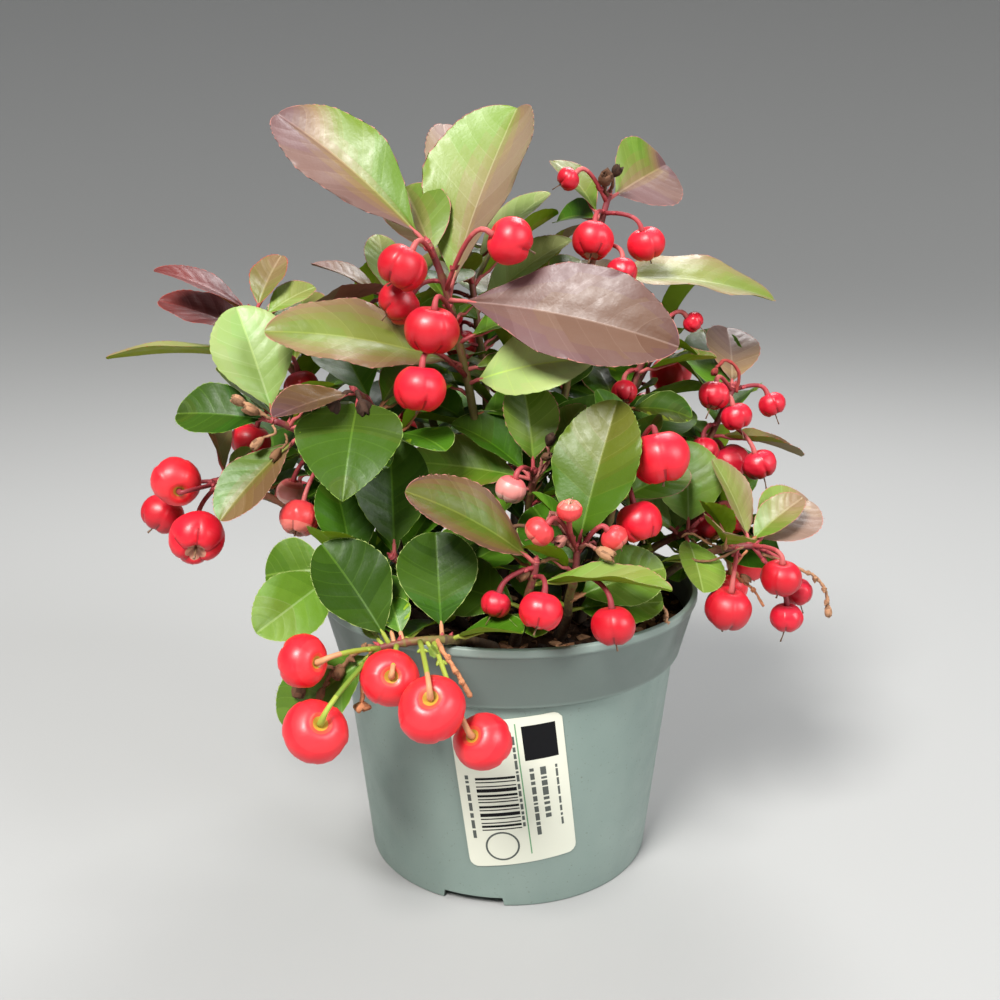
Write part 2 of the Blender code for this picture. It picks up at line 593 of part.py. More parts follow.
pot = make("pot", pot_solid())
cutters = []
for k in range(NOTCHES):
    a = math.radians(NOTCH_FIRST_DEG + 360 * k / NOTCHES)
    out, side = Vector((math.cos(a), math.sin(a), 0)), Vector((-math.sin(a), math.cos(a), 0))
    corners = [out * r + side * (s * NOTCH_W / 2) + Vector((0, 0, z))
               for z in (-2, FLOOR_UNDER)
               for r, s in ((FOOT_R - 5, -1), (FOOT_R + 3, -1), (FOOT_R + 3, 1), (FOOT_R - 5, 1))]
    cutters.append(make("notch_%d" % k, tube([corners[:4], corners[4:]])))
for k in range(DRAINS):
    a = math.radians(NOTCH_FIRST_DEG + 45 + 360 * k / DRAINS)
    mid = Vector((math.cos(a), math.sin(a), 0)) * DRAIN_AT_R
    up = Vector((0, 0, 1))
    cutters.append(make("drain_%d" % k, tube([
        ring(mid + up * 1.0, up, DRAIN_R, 10), ring(mid + up * 6.0, up, DRAIN_R, 10)])))
boolean(pot, cutters, "DIFFERENCE")
clean(pot, plastic)
make("compost", compost_solid(), earth)
make("label", label_solid(), paper)

stems, kept, skipped = grow_plant()
for name in SHOOTS:
    limb, upper = stems[name]
    make("stem_" + name, limb, bark)
    for solver in ("MANIFOLD", "EXACT"):
        mass = make("leaves_" + name, upper)
        boolean(mass, [make("piece", item[1]) for item in kept[name]], "UNION", solver)
        if clean(mass, green):
            break
        print("not closed by", solver, mass.name)
        if solver == "MANIFOLD":
            bpy.data.objects.remove(mass)
for mesh in list(bpy.data.meshes):
    if mesh.users == 0:
        bpy.data.meshes.remove(mesh)
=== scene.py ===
"""Looks of a wintergreen plant in its nursery pot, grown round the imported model.

Sizes are in millimetres until a mesh is made, which turns them into metres.
X is to the right, -Y towards the viewer, Z up, and the origin is under the pot.
"""
import functools
import json
import math
import random

import bpy
import numpy as np
from mathutils import Euler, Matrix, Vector
from mathutils.bvhtree import BVHTree

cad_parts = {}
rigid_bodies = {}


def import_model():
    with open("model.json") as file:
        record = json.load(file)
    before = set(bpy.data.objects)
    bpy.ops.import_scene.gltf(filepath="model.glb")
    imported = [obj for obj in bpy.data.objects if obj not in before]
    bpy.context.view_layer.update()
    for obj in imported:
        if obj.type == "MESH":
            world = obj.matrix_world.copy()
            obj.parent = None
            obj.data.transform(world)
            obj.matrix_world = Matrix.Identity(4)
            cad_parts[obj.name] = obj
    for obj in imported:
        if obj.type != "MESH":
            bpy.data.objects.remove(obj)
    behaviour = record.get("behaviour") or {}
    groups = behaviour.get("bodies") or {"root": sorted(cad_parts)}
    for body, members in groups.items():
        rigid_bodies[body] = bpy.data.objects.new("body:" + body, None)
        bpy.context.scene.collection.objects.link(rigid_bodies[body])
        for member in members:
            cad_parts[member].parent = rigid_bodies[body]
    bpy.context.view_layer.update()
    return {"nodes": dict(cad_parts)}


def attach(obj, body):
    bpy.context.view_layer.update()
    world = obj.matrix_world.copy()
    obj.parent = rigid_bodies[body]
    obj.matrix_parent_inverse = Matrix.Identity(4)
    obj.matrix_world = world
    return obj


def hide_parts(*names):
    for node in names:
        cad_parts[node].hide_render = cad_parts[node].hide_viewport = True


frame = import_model()
MM = 0.001
FULL_TURN, ANY_ANGLE = 2 * math.pi, (0, 6.28)
UP = Vector((0, 0, 1))

# The stage is a wide shallow dish of matt pale board that curves up all round, so no edge shows. The
# lamps are soft cones: the main one is above in front on the left, a weaker one in front on the right
# and a faint one behind. The camera stands 30 cm away and looks 14 degrees down, as in the photo.
BOARD_GREY = (0.36, 0.36, 0.355)
DISH_FLAT, DISH_WIDE, DISH_HIGH = 350.0, 3200.0, 2400.0
DISH_STEPS, DISH_SIDES, DISH_CURVE = 28, 64, 2.8
LAMP_CONE_DEG, LAMP_AIM = 140, (0, 0, 0.10)
LAMPS = [                               # name, place, size, watts, colour
    ("lamp_above", (-0.40, -0.85, 1.15), 0.25, 138.0, (1.0, 0.99, 0.965)),
    ("lamp_right", (1.35, -0.85, 0.95), 0.40, 90.0, (0.95, 0.975, 1.0)),
    ("lamp_behind", (0.20, 0.65, 0.95), 0.25, 32.0, (1.0, 1.0, 1.0))]
ROOM_COLOUR, ROOM_LIGHT = (0.93, 0.96, 1.0, 1), 0.26
EYE, LENS, SENSOR, NEAR_CLIP, LOOK_DOWN_DEG = (-0.0025, -0.2907, 0.1746), 39.0, 36.0, 0.01, 14.3


def into_scene(name, data):
    """Object of a mesh, lamp or camera, at the origin of the scene."""
    obj = bpy.data.objects.new(name, data)
    bpy.context.scene.collection.objects.link(obj)
    return obj


def finish_mesh(name, points, faces, smooth=True):
    """Object from points in millimetres, at the origin, with its faces turned as they are given."""
    mesh = bpy.data.meshes.new(name)
    mesh.from_pydata([tuple(p) for p in np.asarray(points, float) * MM], [], [tuple(f) for f in faces])
    mesh.shade_smooth() if smooth else mesh.shade_flat()
    return into_scene(name, mesh)


def turned(profile, sides):
    """Points and outward faces of a profile (radius, height), outer side first, turned round Z."""
    points, faces, rows = [], [], []
    for r, z in profile:
        if r == 0:
            rows.append([len(points)] * sides)
            points.append((0, 0, z))
        else:
            rows.append(list(range(len(points), len(points) + sides)))
            angles = (FULL_TURN * k / sides for k in range(sides))
            points += [(r * math.cos(a), r * math.sin(a), z) for a in angles]
    for low, high in zip(rows, rows[1:]):
        for k in range(sides):
            n = (k + 1) % sides
            quad = [low[k], low[n], high[n], high[k]]
            faces.append([p for i, p in enumerate(quad) if p not in quad[:i]])
    return points, faces


def material(name, colour, roughness, specular=0.5, coat=0.0):
    """A surface of one plain colour, given back with its nodes and its shader."""
    mat = bpy.data.materials.new(name)
    mat.use_nodes = True
    shader = mat.node_tree.nodes["Principled BSDF"]
    shader.inputs["Base Color"].default_value = (*colour, 1)
    shader.inputs["Roughness"].default_value = roughness
    shader.inputs["Specular IOR Level"].default_value = specular
    shader.inputs["Coat Weight"].default_value = coat
    return mat, mat.node_tree, shader


def pattern(tree, scale, detail=3.0, stretch=None):
    """Noise on Object coordinates, given in waves per metre, with a Mapping where it is stretched."""
    where = tree.nodes.new("ShaderNodeTexCoord").outputs["Object"]
    if stretch:
        turn = tree.nodes.new("ShaderNodeMapping")
        turn.inputs["Scale"].default_value = stretch
        tree.links.new(where, turn.inputs["Vector"])
        where = turn.outputs["Vector"]
    noise = tree.nodes.new("ShaderNodeTexNoise")
    noise.inputs["Scale"].default_value, noise.inputs["Detail"].default_value = scale, detail
    tree.links.new(where, noise.inputs["Vector"])
    return noise.outputs["Fac"]


def spread_of(tree, fac, low, high, start=0.3, end=0.7):
    """The factor stretched from start..end to low..high."""
    node = tree.nodes.new("ShaderNodeMapRange")
    for key, value in (("From Min", start), ("From Max", end), ("To Min", low), ("To Max", high)):
        node.inputs[key].default_value = value
    tree.links.new(fac, node.inputs["Value"])
    return node.outputs["Result"]


def bump(tree, shader, fac, depth, strength=1.0, after=None):
    """Relief of a depth in millimetres, laid over another relief if after gives one."""
    node = tree.nodes.new("ShaderNodeBump")
    node.inputs["Distance"].default_value = depth * MM
    node.inputs["Strength"].default_value = strength
    tree.links.new(fac, node.inputs["Height"])
    if after:
        tree.links.new(after, node.inputs["Normal"])
    tree.links.new(node.outputs["Normal"], shader.inputs["Normal"])
    return node.outputs["Normal"]


def blend_colours(tree, fac, first, second):
    """Two colours, or colour outputs, mixed by a factor."""
    node = tree.nodes.new("ShaderNodeMix")
    node.data_type = "RGBA"
    for socket, value in ((node.inputs[6], first), (node.inputs[7], second)):
        if isinstance(value, tuple):
            socket.default_value = (*value, 1)
        else:
            tree.links.new(value, socket)
    tree.links.new(fac, node.inputs[0])
    return node.outputs[2]


board, board_nodes, board_shader = material("pale_board", BOARD_GREY, 0.85, 0.2)
bump(board_nodes, board_shader, pattern(board_nodes, 900), 0.05, 0.3)
dish_rows = [(0, 0)] + [(DISH_FLAT + (DISH_WIDE - DISH_FLAT) * k / DISH_STEPS,
                         DISH_HIGH * (k / DISH_STEPS) ** DISH_CURVE) for k in range(DISH_STEPS + 1)]
dish = finish_mesh("pale_dish", *turned(dish_rows, DISH_SIDES))
dish.data.flip_normals()
dish.data.materials.append(board)

for name, place, size, watts, colour in LAMPS:
    lamp = bpy.data.lights.new(name, "SPOT")
    lamp.spot_size, lamp.spot_blend = math.radians(LAMP_CONE_DEG), 1.0
    lamp.shadow_soft_size, lamp.energy, lamp.color = size, watts, colour
    holder = into_scene(name, lamp)
    holder.location, holder.visible_camera = place, False
    holder.rotation_euler = (Vector(LAMP_AIM) - Vector(place)).to_track_quat("-Z", "Y").to_euler()
room = bpy.data.worlds.new("soft_room")
bpy.context.scene.world = room
bpy.context.scene.view_settings.view_transform = "Standard"
room.use_nodes = True
room.node_tree.nodes["Background"].inputs["Color"].default_value = ROOM_COLOUR
room.node_tree.nodes["Background"].inputs["Strength"].default_value = ROOM_LIGHT

eye = bpy.data.cameras.new("eye")
eye.lens, eye.sensor_width, eye.clip_start = LENS, SENSOR, NEAR_CLIP
viewer = into_scene("eye", eye)
viewer.location = EYE
viewer.rotation_euler = (math.radians(90 - LOOK_DOWN_DEG), 0, 0)
bpy.context.scene.camera = viewer

# The pot is one thin moulding of matt grey-green plastic: a tapered wall, a collar with a rolled lip,
# and a floor with drain holes on a foot ring that is notched in three places. Dust clings to it.
POT_TURNS, POT_SHARP_DEG, WALL_RUNS = 144, 42, 6
RIM_R, POT_H = 52.5, 77.3
COLLAR_LOW_R, COLLAR_LOW_Z = 48.2, 60.3
WALL_TOP_R, FOOT_R = 46.6, 40.0
WALL, FLOOR_UNDER, FLOOR_TOP, RING_W, PAD_R = 1.2, 2.6, 4.0, 1.6, 6.0
NOTCH_W, NOTCH_TAPER, NOTCH_IN, NOTCH_OUT = 17.5, 0.8, 5.0, 3.0
NOTCH_FIRST_DEG, NOTCHES = 256.0, 3
DRAIN_R, DRAIN_AT_R, DRAINS, DRAIN_SIDES, DRAIN_FROM_DEG = 4.0, 26.0, 4, 28, 45
CUT_DEPTH = (1.0, 6.0)
LIP_ROUND, STEP_ROUND, FOOT_ROUND = 0.55, 0.45, 0.35
# The paler plastic clouds the wall and is also a painted highlight on the lip; the collar colour is painted
# shade.
PLASTIC, PLASTIC_PALER_AND_LIP_HIGHLIGHT, POT_DUST = (0.190, 0.250, 0.222), (0.240, 0.300, 0.268), (0.09, 0.08, 0.06)
PLASTIC_COLLAR_SHADE = (0.118, 0.144, 0.130)


def rounded(corners, steps=3):
    """A profile whose corners (radius, height, rounding) are turned into short arcs."""
    out = []
    for i, (x, z, r) in enumerate(corners):
        if not r or i in (0, len(corners) - 1):
            out.append((x, z))
            continue
        here = Vector((x, z))
        before, after = (Vector(corners[j][:2]) - here for j in (i - 1, i + 1))
        reach = min(r, before.length * 0.45, after.length * 0.45)
        a, b = here + before.normalized() * reach, here + after.normalized() * reach
        for k in range(steps + 1):
            t = k / steps
            p = a * (1 - t) ** 2 + here * (2 * t * (1 - t)) + b * t * t
            out.append((p.x, p.y))
    return out


def shelf(name, objects):
    """Collection of shapes that a modifier or group takes, out of the scene's own."""
    group = bpy.data.collections.new(name)
    for obj in objects:
        bpy.context.scene.collection.objects.unlink(obj)
        group.objects.link(obj)
    return group


def clear_shelf(group):
    """Drops a collection of shapes once it has been used."""
    for obj in list(group.objects):
        bpy.data.objects.remove(obj)
    bpy.data.collections.remove(group)


def applied(obj):
    """The mesh that an object's modifiers give."""
    return bpy.data.meshes.new_from_object(obj.evaluated_get(bpy.context.evaluated_depsgraph_get()))


def cut_with(obj, cutters):
    """Cuts every cutter out of a piece and drops the cutters."""
    group = shelf("cutters", cutters)
    bpy.context.scene.collection.children.link(group)
    mod = obj.modifiers.new("cut", "BOOLEAN")
    mod.operation, mod.operand_type, mod.solver = "DIFFERENCE", "COLLECTION", "EXACT"
    mod.collection = group
    result = applied(obj)
    obj.modifiers.clear()
    obj.data = result
    clear_shelf(group)


low_in = WALL_TOP_R - WALL
wall_rows = [(FOOT_R + (WALL_TOP_R - FOOT_R) * k / WALL_RUNS, COLLAR_LOW_Z * k / WALL_RUNS, 0)
             for k in range(1, WALL_RUNS)]
pot_corners = [                         # radius, height and rounding, from under the floor to its top
    (0, 0, 0), (PAD_R, 0, FOOT_ROUND), (PAD_R + 0.6, FLOOR_UNDER, FOOT_ROUND),
    (FOOT_R - RING_W, FLOOR_UNDER, FOOT_ROUND), (FOOT_R - RING_W, 0, FOOT_ROUND), (FOOT_R, 0, 0.6),
    *wall_rows, (WALL_TOP_R, COLLAR_LOW_Z, STEP_ROUND), (COLLAR_LOW_R, COLLAR_LOW_Z, STEP_ROUND),
    (RIM_R - 0.6, POT_H - 2.6, 0.5), (RIM_R, POT_H - 2.0, LIP_ROUND), (RIM_R, POT_H - 0.1, LIP_ROUND),
    (RIM_R - 0.8, POT_H, 0.4), (RIM_R - 1.5, POT_H, LIP_ROUND), (RIM_R - 1.7, POT_H - 1.2, 0.3),
    (COLLAR_LOW_R - WALL, COLLAR_LOW_Z + 1.4, 0.4), (low_in, COLLAR_LOW_Z + 0.2, 0.4),
    (FOOT_R - 0.8, FLOOR_TOP, 0.5), (0, FLOOR_TOP, 0)]
pot = finish_mesh("pot_shell", *turned(rounded(pot_corners), POT_TURNS))
cutters = []
for k in range(NOTCHES):
    a = math.radians(NOTCH_FIRST_DEG + 360 * k / NOTCHES)
    out, side = np.array((math.cos(a), math.sin(a), 0)), np.array((-math.sin(a), math.cos(a), 0))
    near, far = FOOT_R - NOTCH_IN, FOOT_R + NOTCH_OUT
    block = [out * r + side * (s * half) + np.array((0, 0, z))
             for z, half in ((-2.0, NOTCH_W / 2), (FLOOR_UNDER, NOTCH_W / 2 - NOTCH_TAPER))
             for r, s in ((near, -1), (far, -1), (far, 1), (near, 1))]
    cutters.append(finish_mesh("notch_%d" % k, block, [
        (3, 2, 1, 0), (4, 5, 6, 7), (0, 1, 5, 4), (1, 2, 6, 5), (2, 3, 7, 6), (3, 0, 4, 7)]))
for k in range(DRAINS):
    a = math.radians(NOTCH_FIRST_DEG + DRAIN_FROM_DEG + 360 * k / DRAINS)
    low, high = CUT_DEPTH
    points, faces = turned([(0, low), (DRAIN_R, low), (DRAIN_R, high), (0, high)], DRAIN_SIDES)
    shift = np.array((math.cos(a) * DRAIN_AT_R, math.sin(a) * DRAIN_AT_R, 0))
    cutters.append(finish_mesh("drain_%d" % k, np.array(points) + shift, faces))
cut_with(pot, cutters)
pot.data.shade_smooth()
pot.data.set_sharp_from_angle(angle=math.radians(POT_SHARP_DEG))

# The plastic is cloudy, streaked and specked; painted shade darkens the collar, a painted highlight the
# lip.
plastic, nodes, shader = material("pot_plastic", PLASTIC, 0.5, 0.45)
cloud = spread_of(nodes, pattern(nodes, 38, 5), 0, 1)
flow = spread_of(nodes, pattern(nodes, 60, 3, (1.0, 1.0, 0.12)), 0, 0.55)
tone = blend_colours(nodes, flow, blend_colours(nodes, cloud, PLASTIC, PLASTIC_PALER_AND_LIP_HIGHLIGHT), PLASTIC)
specks = spread_of(nodes, pattern(nodes, 1500, 2), 0, 0.55, 0.66, 0.78)
tone = blend_colours(nodes, specks, tone, POT_DUST)
where = nodes.nodes.new("ShaderNodeSeparateXYZ")
nodes.links.new(nodes.nodes.new("ShaderNodeTexCoord").outputs["Object"], where.inputs["Vector"])
# Painted shade on the collar band, and a painted highlight on the lip band.
for low, high, most, colour in ((COLLAR_LOW_Z - 0.1, COLLAR_LOW_Z + 1.2, 0.8, PLASTIC_COLLAR_SHADE),
                                (POT_H - 2.9, POT_H - 1.6, 0.75, PLASTIC_PALER_AND_LIP_HIGHLIGHT)):
    above = spread_of(nodes, where.outputs["Z"], 0, most, low * MM, high * MM)
    tone = blend_colours(nodes, above, tone, colour)
nodes.links.new(tone, shader.inputs["Base Color"])
nodes.links.new(spread_of(nodes, pattern(nodes, 120, 4), 0.40, 0.60), shader.inputs["Roughness"])
relief = bump(nodes, shader, pattern(nodes, 2600, 2), 0.03, 0.5)
bump(nodes, shader, pattern(nodes, 55, 2, (1.0, 1.0, 0.25)), 0.35, 0.35, relief)
pot.data.materials.clear()
pot.data.materials.append(plastic)
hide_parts("pot")
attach(pot, "root")

# The label is a cream sticker of coated paper, wrapped on the wall and stuck a little crooked.
# What is printed on it is plain: one dark block, a stack of bars, a thin green rule, a ring, and
# rows of short grey dashes. A print's box is its left, right, low and high edge.
LABEL_W, LABEL_H, LABEL_CORNER, LABEL_SHARP_DEG = 28.3, 43.0, 2.4, 50
LABEL_MID_ARC, LABEL_MID_Z, LABEL_TILT_DEG = 1.3, 35.4, 7.0
LABEL_OFF, LABEL_THICK, LABEL_COLS, LABEL_ROWS = 0.10, 0.22, 14, 10
CORNER_CUTS_DEG = (0, 25, 50, 72)
PRINT = {                               # colour, roughness, shine
    "paper": ((0.68, 0.68, 0.57), 0.42, 0.3), "ink": ((0.006, 0.006, 0.007), 0.55, 0.12),
    "green": ((0.16, 0.33, 0.17), 0.55, 0.12), "grey": ((0.09, 0.10, 0.09), 0.55, 0.12)}
BLOCK = (3.6, 12.2, 9.0, 19.0)
RULE = (2.0, 2.35, -19.0, 20.0)
BARS_LEFT, BARS_RIGHT, BARS_LOW = -9.6, 0.6, -10.6
BAR_WIDTHS = (0.35, 0.7, 0.35, 0.35, 1.05, 0.35, 0.7, 0.35, 0.35, 0.7, 1.05, 0.35, 0.35, 0.7)
BAR_GAPS = (0.5, 0.5, 0.9, 0.5, 0.7, 0.5, 0.9, 0.5, 0.5, 0.7, 0.5, 0.9, 0.5, 0.5)
DASH_ROWS = (                           # left, right, and from which height down to which
    (4.3, 5.4, 6.6, -14.0), (7.0, 8.5, 6.6, -9.0), (10.9, 11.5, 6.6, -12.0),
    (0.9, 1.6, 16.5, -9.5), (-12.2, -11.3, 6.0, -11.0))
DASH_LONG, DASH_GAP, DASH_SEED = (0.6, 2.6), (0.35, 0.7), 21
RING_AT, RING_R, RING_WIDE, RING_SIDES, RING_SINK = (-5.0, -15.6), 3.9, 0.5, 40, 0.03

printed = [("ink", BLOCK), ("green", RULE)]
dash = random.Random(DASH_SEED)
for left, right, high, low in DASH_ROWS:
    while high > low:
        run = dash.uniform(*DASH_LONG)
        printed.append(("grey", (left, right, high - run, high)))
        high -= run + dash.uniform(*DASH_GAP)
level = BARS_LOW
for wide, gap in zip(BAR_WIDTHS, BAR_GAPS):
    printed.append(("ink", (BARS_LEFT, BARS_RIGHT, level, level + wide)))
    level += wide + gap
inner_w, inner_h = LABEL_W / 2 - LABEL_CORNER, LABEL_H / 2 - LABEL_CORNER
arc = [LABEL_CORNER * (1 - math.cos(math.radians(a))) for a in CORNER_CUTS_DEG]
across = sorted({-LABEL_W / 2 + x for x in arc} | {LABEL_W / 2 - x for x in arc}
                | {-inner_w + 2 * inner_w * k / LABEL_COLS for k in range(LABEL_COLS + 1)}
                | {x for _, box in printed for x in box[:2]})
up = sorted({-inner_h + 2 * inner_h * k / LABEL_ROWS for k in range(LABEL_ROWS + 1)}
            | {y for _, box in printed for y in box[2:]})
tilt, cols, rows = math.radians(LABEL_TILT_DEG), len(across), len(up) + 2


def on_label(u, v, off):
    """Point of the label's own flat pattern, laid round the tapered wall at a given height off it."""
    z = LABEL_MID_Z + u * math.sin(tilt) + v * math.cos(tilt)
    r = FOOT_R + (WALL_TOP_R - FOOT_R) * z / COLLAR_LOW_Z
    a = math.radians(270) + (LABEL_MID_ARC + u * math.cos(tilt) - v * math.sin(tilt)) / r
    return ((r + off) * math.cos(a), (r + off) * math.sin(a), z)


def ink_at(c, k):
    """What is printed on the label's cell in column c and row k."""
    ink = "paper"
    if 0 < k < rows - 2:
        mid_u, mid_v = (across[c] + across[c + 1]) / 2, (up[k - 1] + up[k]) / 2
        for kind, (left, right, low, high) in printed:
            if left < mid_u < right and low < mid_v < high:
                ink = kind
    return ink


points = []
for off in (LABEL_OFF, LABEL_OFF + LABEL_THICK):
    for u in across:
        into = max(0.0, abs(u) - inner_w)
        reach = inner_h + math.sqrt(max(0.0, LABEL_CORNER ** 2 - into ** 2))
        points += [on_label(u, v, off) for v in [-reach] + up + [reach]]
faces, inks, n = [], [], cols * rows
for c in range(cols - 1):
    for k in range(rows - 1):
        a = c * rows + k
        faces.append((a, a + 1, a + rows + 1, a + rows))
        faces.append((n + a, n + a + rows, n + a + rows + 1, n + a + 1))
        inks += ["paper", ink_at(c, k)]
edge = [c * rows for c in range(cols)] + [(cols - 1) * rows + k for k in range(1, rows)]
edge += [c * rows + rows - 1 for c in reversed(range(cols - 1))] + list(reversed(range(1, rows - 1)))
for a, b in zip(edge, edge[1:] + edge[:1]):
    faces.append((a, b, n + b, n + a))
    inks.append("paper")
band = len(points)
for off in (LABEL_OFF + LABEL_THICK - RING_SINK, LABEL_OFF + LABEL_THICK + RING_SINK):
    for reach in (RING_R, RING_R + RING_WIDE):
        angles = (FULL_TURN * k / RING_SIDES for k in range(RING_SIDES))
        points += [on_label(RING_AT[0] + reach * math.cos(a), RING_AT[1] + reach * math.sin(a), off)
                   for a in angles]
for k in range(RING_SIDES):
    near, far = band + k, band + (k + 1) % RING_SIDES
    for a, b in ((2, 3), (3, 1), (1, 0), (0, 2)):
        low, high = a * RING_SIDES, b * RING_SIDES
        faces.append((near + low, near + high, far + high, far + low))
        inks.append("grey")
label = finish_mesh("label_sheet", points, faces)
label.data.set_sharp_from_angle(angle=math.radians(LABEL_SHARP_DEG))
for kind, look in PRINT.items():
    mat, nodes, shader = material("label_" + kind, *look)
    bump(nodes, shader, pattern(nodes, 2200, 3), 0.015, 0.5)
    label.data.materials.append(mat)
label.data.polygons.foreach_set("material_index", [list(PRINT).index(k) for k in inks])
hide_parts("label")
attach(label, "root")

# The compost is dark chipped bark that fills the pot to 7 mm under the lip. Its top is uneven,
# and loose flakes of three browns lie on it, dealt out evenly by nodes.
COMPOST_Z, COMPOST_TOP_R, COMPOST_TURNS, COMPOST_ROWS = 70.0, 48.95, 96, 18
HUMPS, HUMP_WAVES, HUMP_PITCH, HUMP_SEED, HUMP_IN = 0.352, 14, (0.08, 0.55), 5, 0.5
FLAKE_KINDS, FLAKE_SIDES, FLAKE_SEEDS = 5, 6, 40
FLAKE_LONG, FLAKE_WIDE, FLAKE_THICK = (2.2, 4.2), (1.2, 2.2), (0.35, 0.8)
FLAKE_BEND, FLAKE_LEAN, FLAKE_UNDER = (-0.05, 0.05), (-0.2, 0.2), 0.85
FLAKE_GAP, FLAKE_LEAST, FLAKE_MOST, FLAKE_SEED, FLAKE_DENSITY = 2.4, 0.6, 2.0, 11, 4e5
EARTH = [(0.026, 0.012, 0.006), (0.012, 0.007, 0.005), (0.110, 0.052, 0.026), (0.200, 0.105, 0.055)]


def group_of(name, inputs):
    """Empty Geometry Nodes group with named inputs, given back with its ends and the inputs' keys."""
    tree = bpy.data.node_groups.new(name, "GeometryNodeTree")
    tree.interface.new_socket("Geometry", in_out="INPUT", socket_type="NodeSocketGeometry")
    keys = {key: tree.interface.new_socket(key, in_out="INPUT", socket_type="NodeSocket" + kind).identifier
            for key, kind in inputs.items()}
    tree.interface.new_socket("Geometry", in_out="OUTPUT", socket_type="NodeSocketGeometry")
    return tree, tree.nodes.new("NodeGroupInput"), tree.nodes.new("NodeGroupOutput"), keys


def node(tree, kind, inputs=None, **settings):
    """One node with its settings, and its inputs given as values or as sockets to link from."""
    made = tree.nodes.new(kind)
    for key, value in settings.items():
        setattr(made, key, value)
    for key, value in (inputs or {}).items():
        if isinstance(value, bpy.types.NodeSocket):
            tree.links.new(value, made.inputs[key])
        else:
            made.inputs[key].default_value = value
    return made


def chance_of(tree, least, most, seed, data_type):
    """A random value for each instance, between least and most."""
    first, out = {"FLOAT_VECTOR": (0, 0), "FLOAT": (2, 1), "INT": (4, 2)}[data_type]
    inputs = {first: least, first + 1: most, "Seed": seed}
    return node(tree, "FunctionNodeRandomValue", inputs, data_type=data_type).outputs[out]


def painted_end(tree, geometry, attribute, mats, end):
    """Realizes the instances and gives each face the material that its number attribute names."""
    geometry = node(tree, "GeometryNodeRealizeInstances", {0: geometry}).outputs[0]
    number = node(tree, "GeometryNodeInputNamedAttribute", {0: attribute}, data_type="INT").outputs[0]
    for i, mat in enumerate(mats):
        chosen = node(tree, "FunctionNodeCompare", {2: number, 3: i}, data_type="INT", operation="EQUAL")
        geometry = node(tree, "GeometryNodeSetMaterial",
                        {0: geometry, "Selection": chosen.outputs[0], "Material": mat}).outputs[0]
    tree.links.new(geometry, end.inputs[0])


def run_group(name, host, tree, keys, values):
    """The group's result on a host mesh, as a plain mesh piece, after which the host is dropped."""
    mod = host.modifiers.new("grow", "NODES")
    mod.node_group = tree
    for key, value in values.items():
        mod[keys[key]] = value
    mesh = applied(host)
    bpy.data.objects.remove(host)
    return into_scene(name, mesh)


def flake_mesh(i):
    """One of the kinds of bark flake: an uneven six-sided chip, bent and a little slanted."""
    rng = random.Random(FLAKE_SEEDS + i)
    long, wide, thick = rng.uniform(*FLAKE_LONG), rng.uniform(*FLAKE_WIDE), rng.uniform(*FLAKE_THICK)
    n, outline = FLAKE_SIDES, []
    for k in range(n):
        a = FULL_TURN * k / n
        x = math.cos(a) * long / 2 * rng.uniform(0.75, 1.1)
        outline.append((x, math.sin(a) * wide / 2 * rng.uniform(0.7, 1.1)))
    bend, lean = rng.uniform(*FLAKE_BEND), rng.uniform(*FLAKE_LEAN)
    chip = [(x * s, y * s, z + bend * x * x + lean * y)
            for z, s in ((-thick / 2, FLAKE_UNDER), (thick / 2, 1.0)) for x, y in outline]
    rim = [(k, (k + 1) % n, n + (k + 1) % n, n + k) for k in range(n)]
    return finish_mesh("flake_%d" % i, chip, [tuple(range(n - 1, -1, -1)), tuple(range(n, 2 * n))] + rim,
                       smooth=False)


top_rows = [(COMPOST_TOP_R * (1 - k / COMPOST_ROWS), COMPOST_Z) for k in range(COMPOST_ROWS)]
points, faces = turned([(0, FLOOR_TOP + 0.3), (FOOT_R - 1.2, FLOOR_TOP + 0.3),
                        (low_in - 0.4, COLLAR_LOW_Z + 0.2), (COLLAR_LOW_R - WALL - 0.4, COLLAR_LOW_Z + 1.7),
                        *top_rows, (0, COMPOST_Z)], COMPOST_TURNS)
rng = random.Random(HUMP_SEED)
waves = [(rng.uniform(*HUMP_PITCH), rng.uniform(*ANY_ANGLE), rng.uniform(*ANY_ANGLE))
         for _ in range(HUMP_WAVES)]
points = np.array(points, float)
out = np.hypot(points[:, 0], points[:, 1])
on_top = (points[:, 2] > COMPOST_Z - 0.1) & (out < COMPOST_TOP_R - HUMP_IN)
for pitch, turn, phase in waves:
    along = points[on_top, 0] * math.cos(turn) + points[on_top, 1] * math.sin(turn)
    points[on_top, 2] += HUMPS * np.sin(pitch * along + phase)
compost = finish_mesh("compost_fill", points, faces)
earths = []
for i, colour in enumerate(EARTH):
    mat, nodes, shader = material("bark_chips_%d" % i, colour, 0.9, 0.10)
    lighter = tuple(min(1, c * 1.9 + 0.004) for c in colour)
    grain = spread_of(nodes, pattern(nodes, 900, 4), 0, 1)
    nodes.links.new(blend_colours(nodes, grain, colour, lighter), shader.inputs["Base Color"])
    bump(nodes, shader, pattern(nodes, 700, 5), 0.5, 0.8)
    earths.append(mat)
compost.data.materials.append(earths[0])
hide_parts("compost")

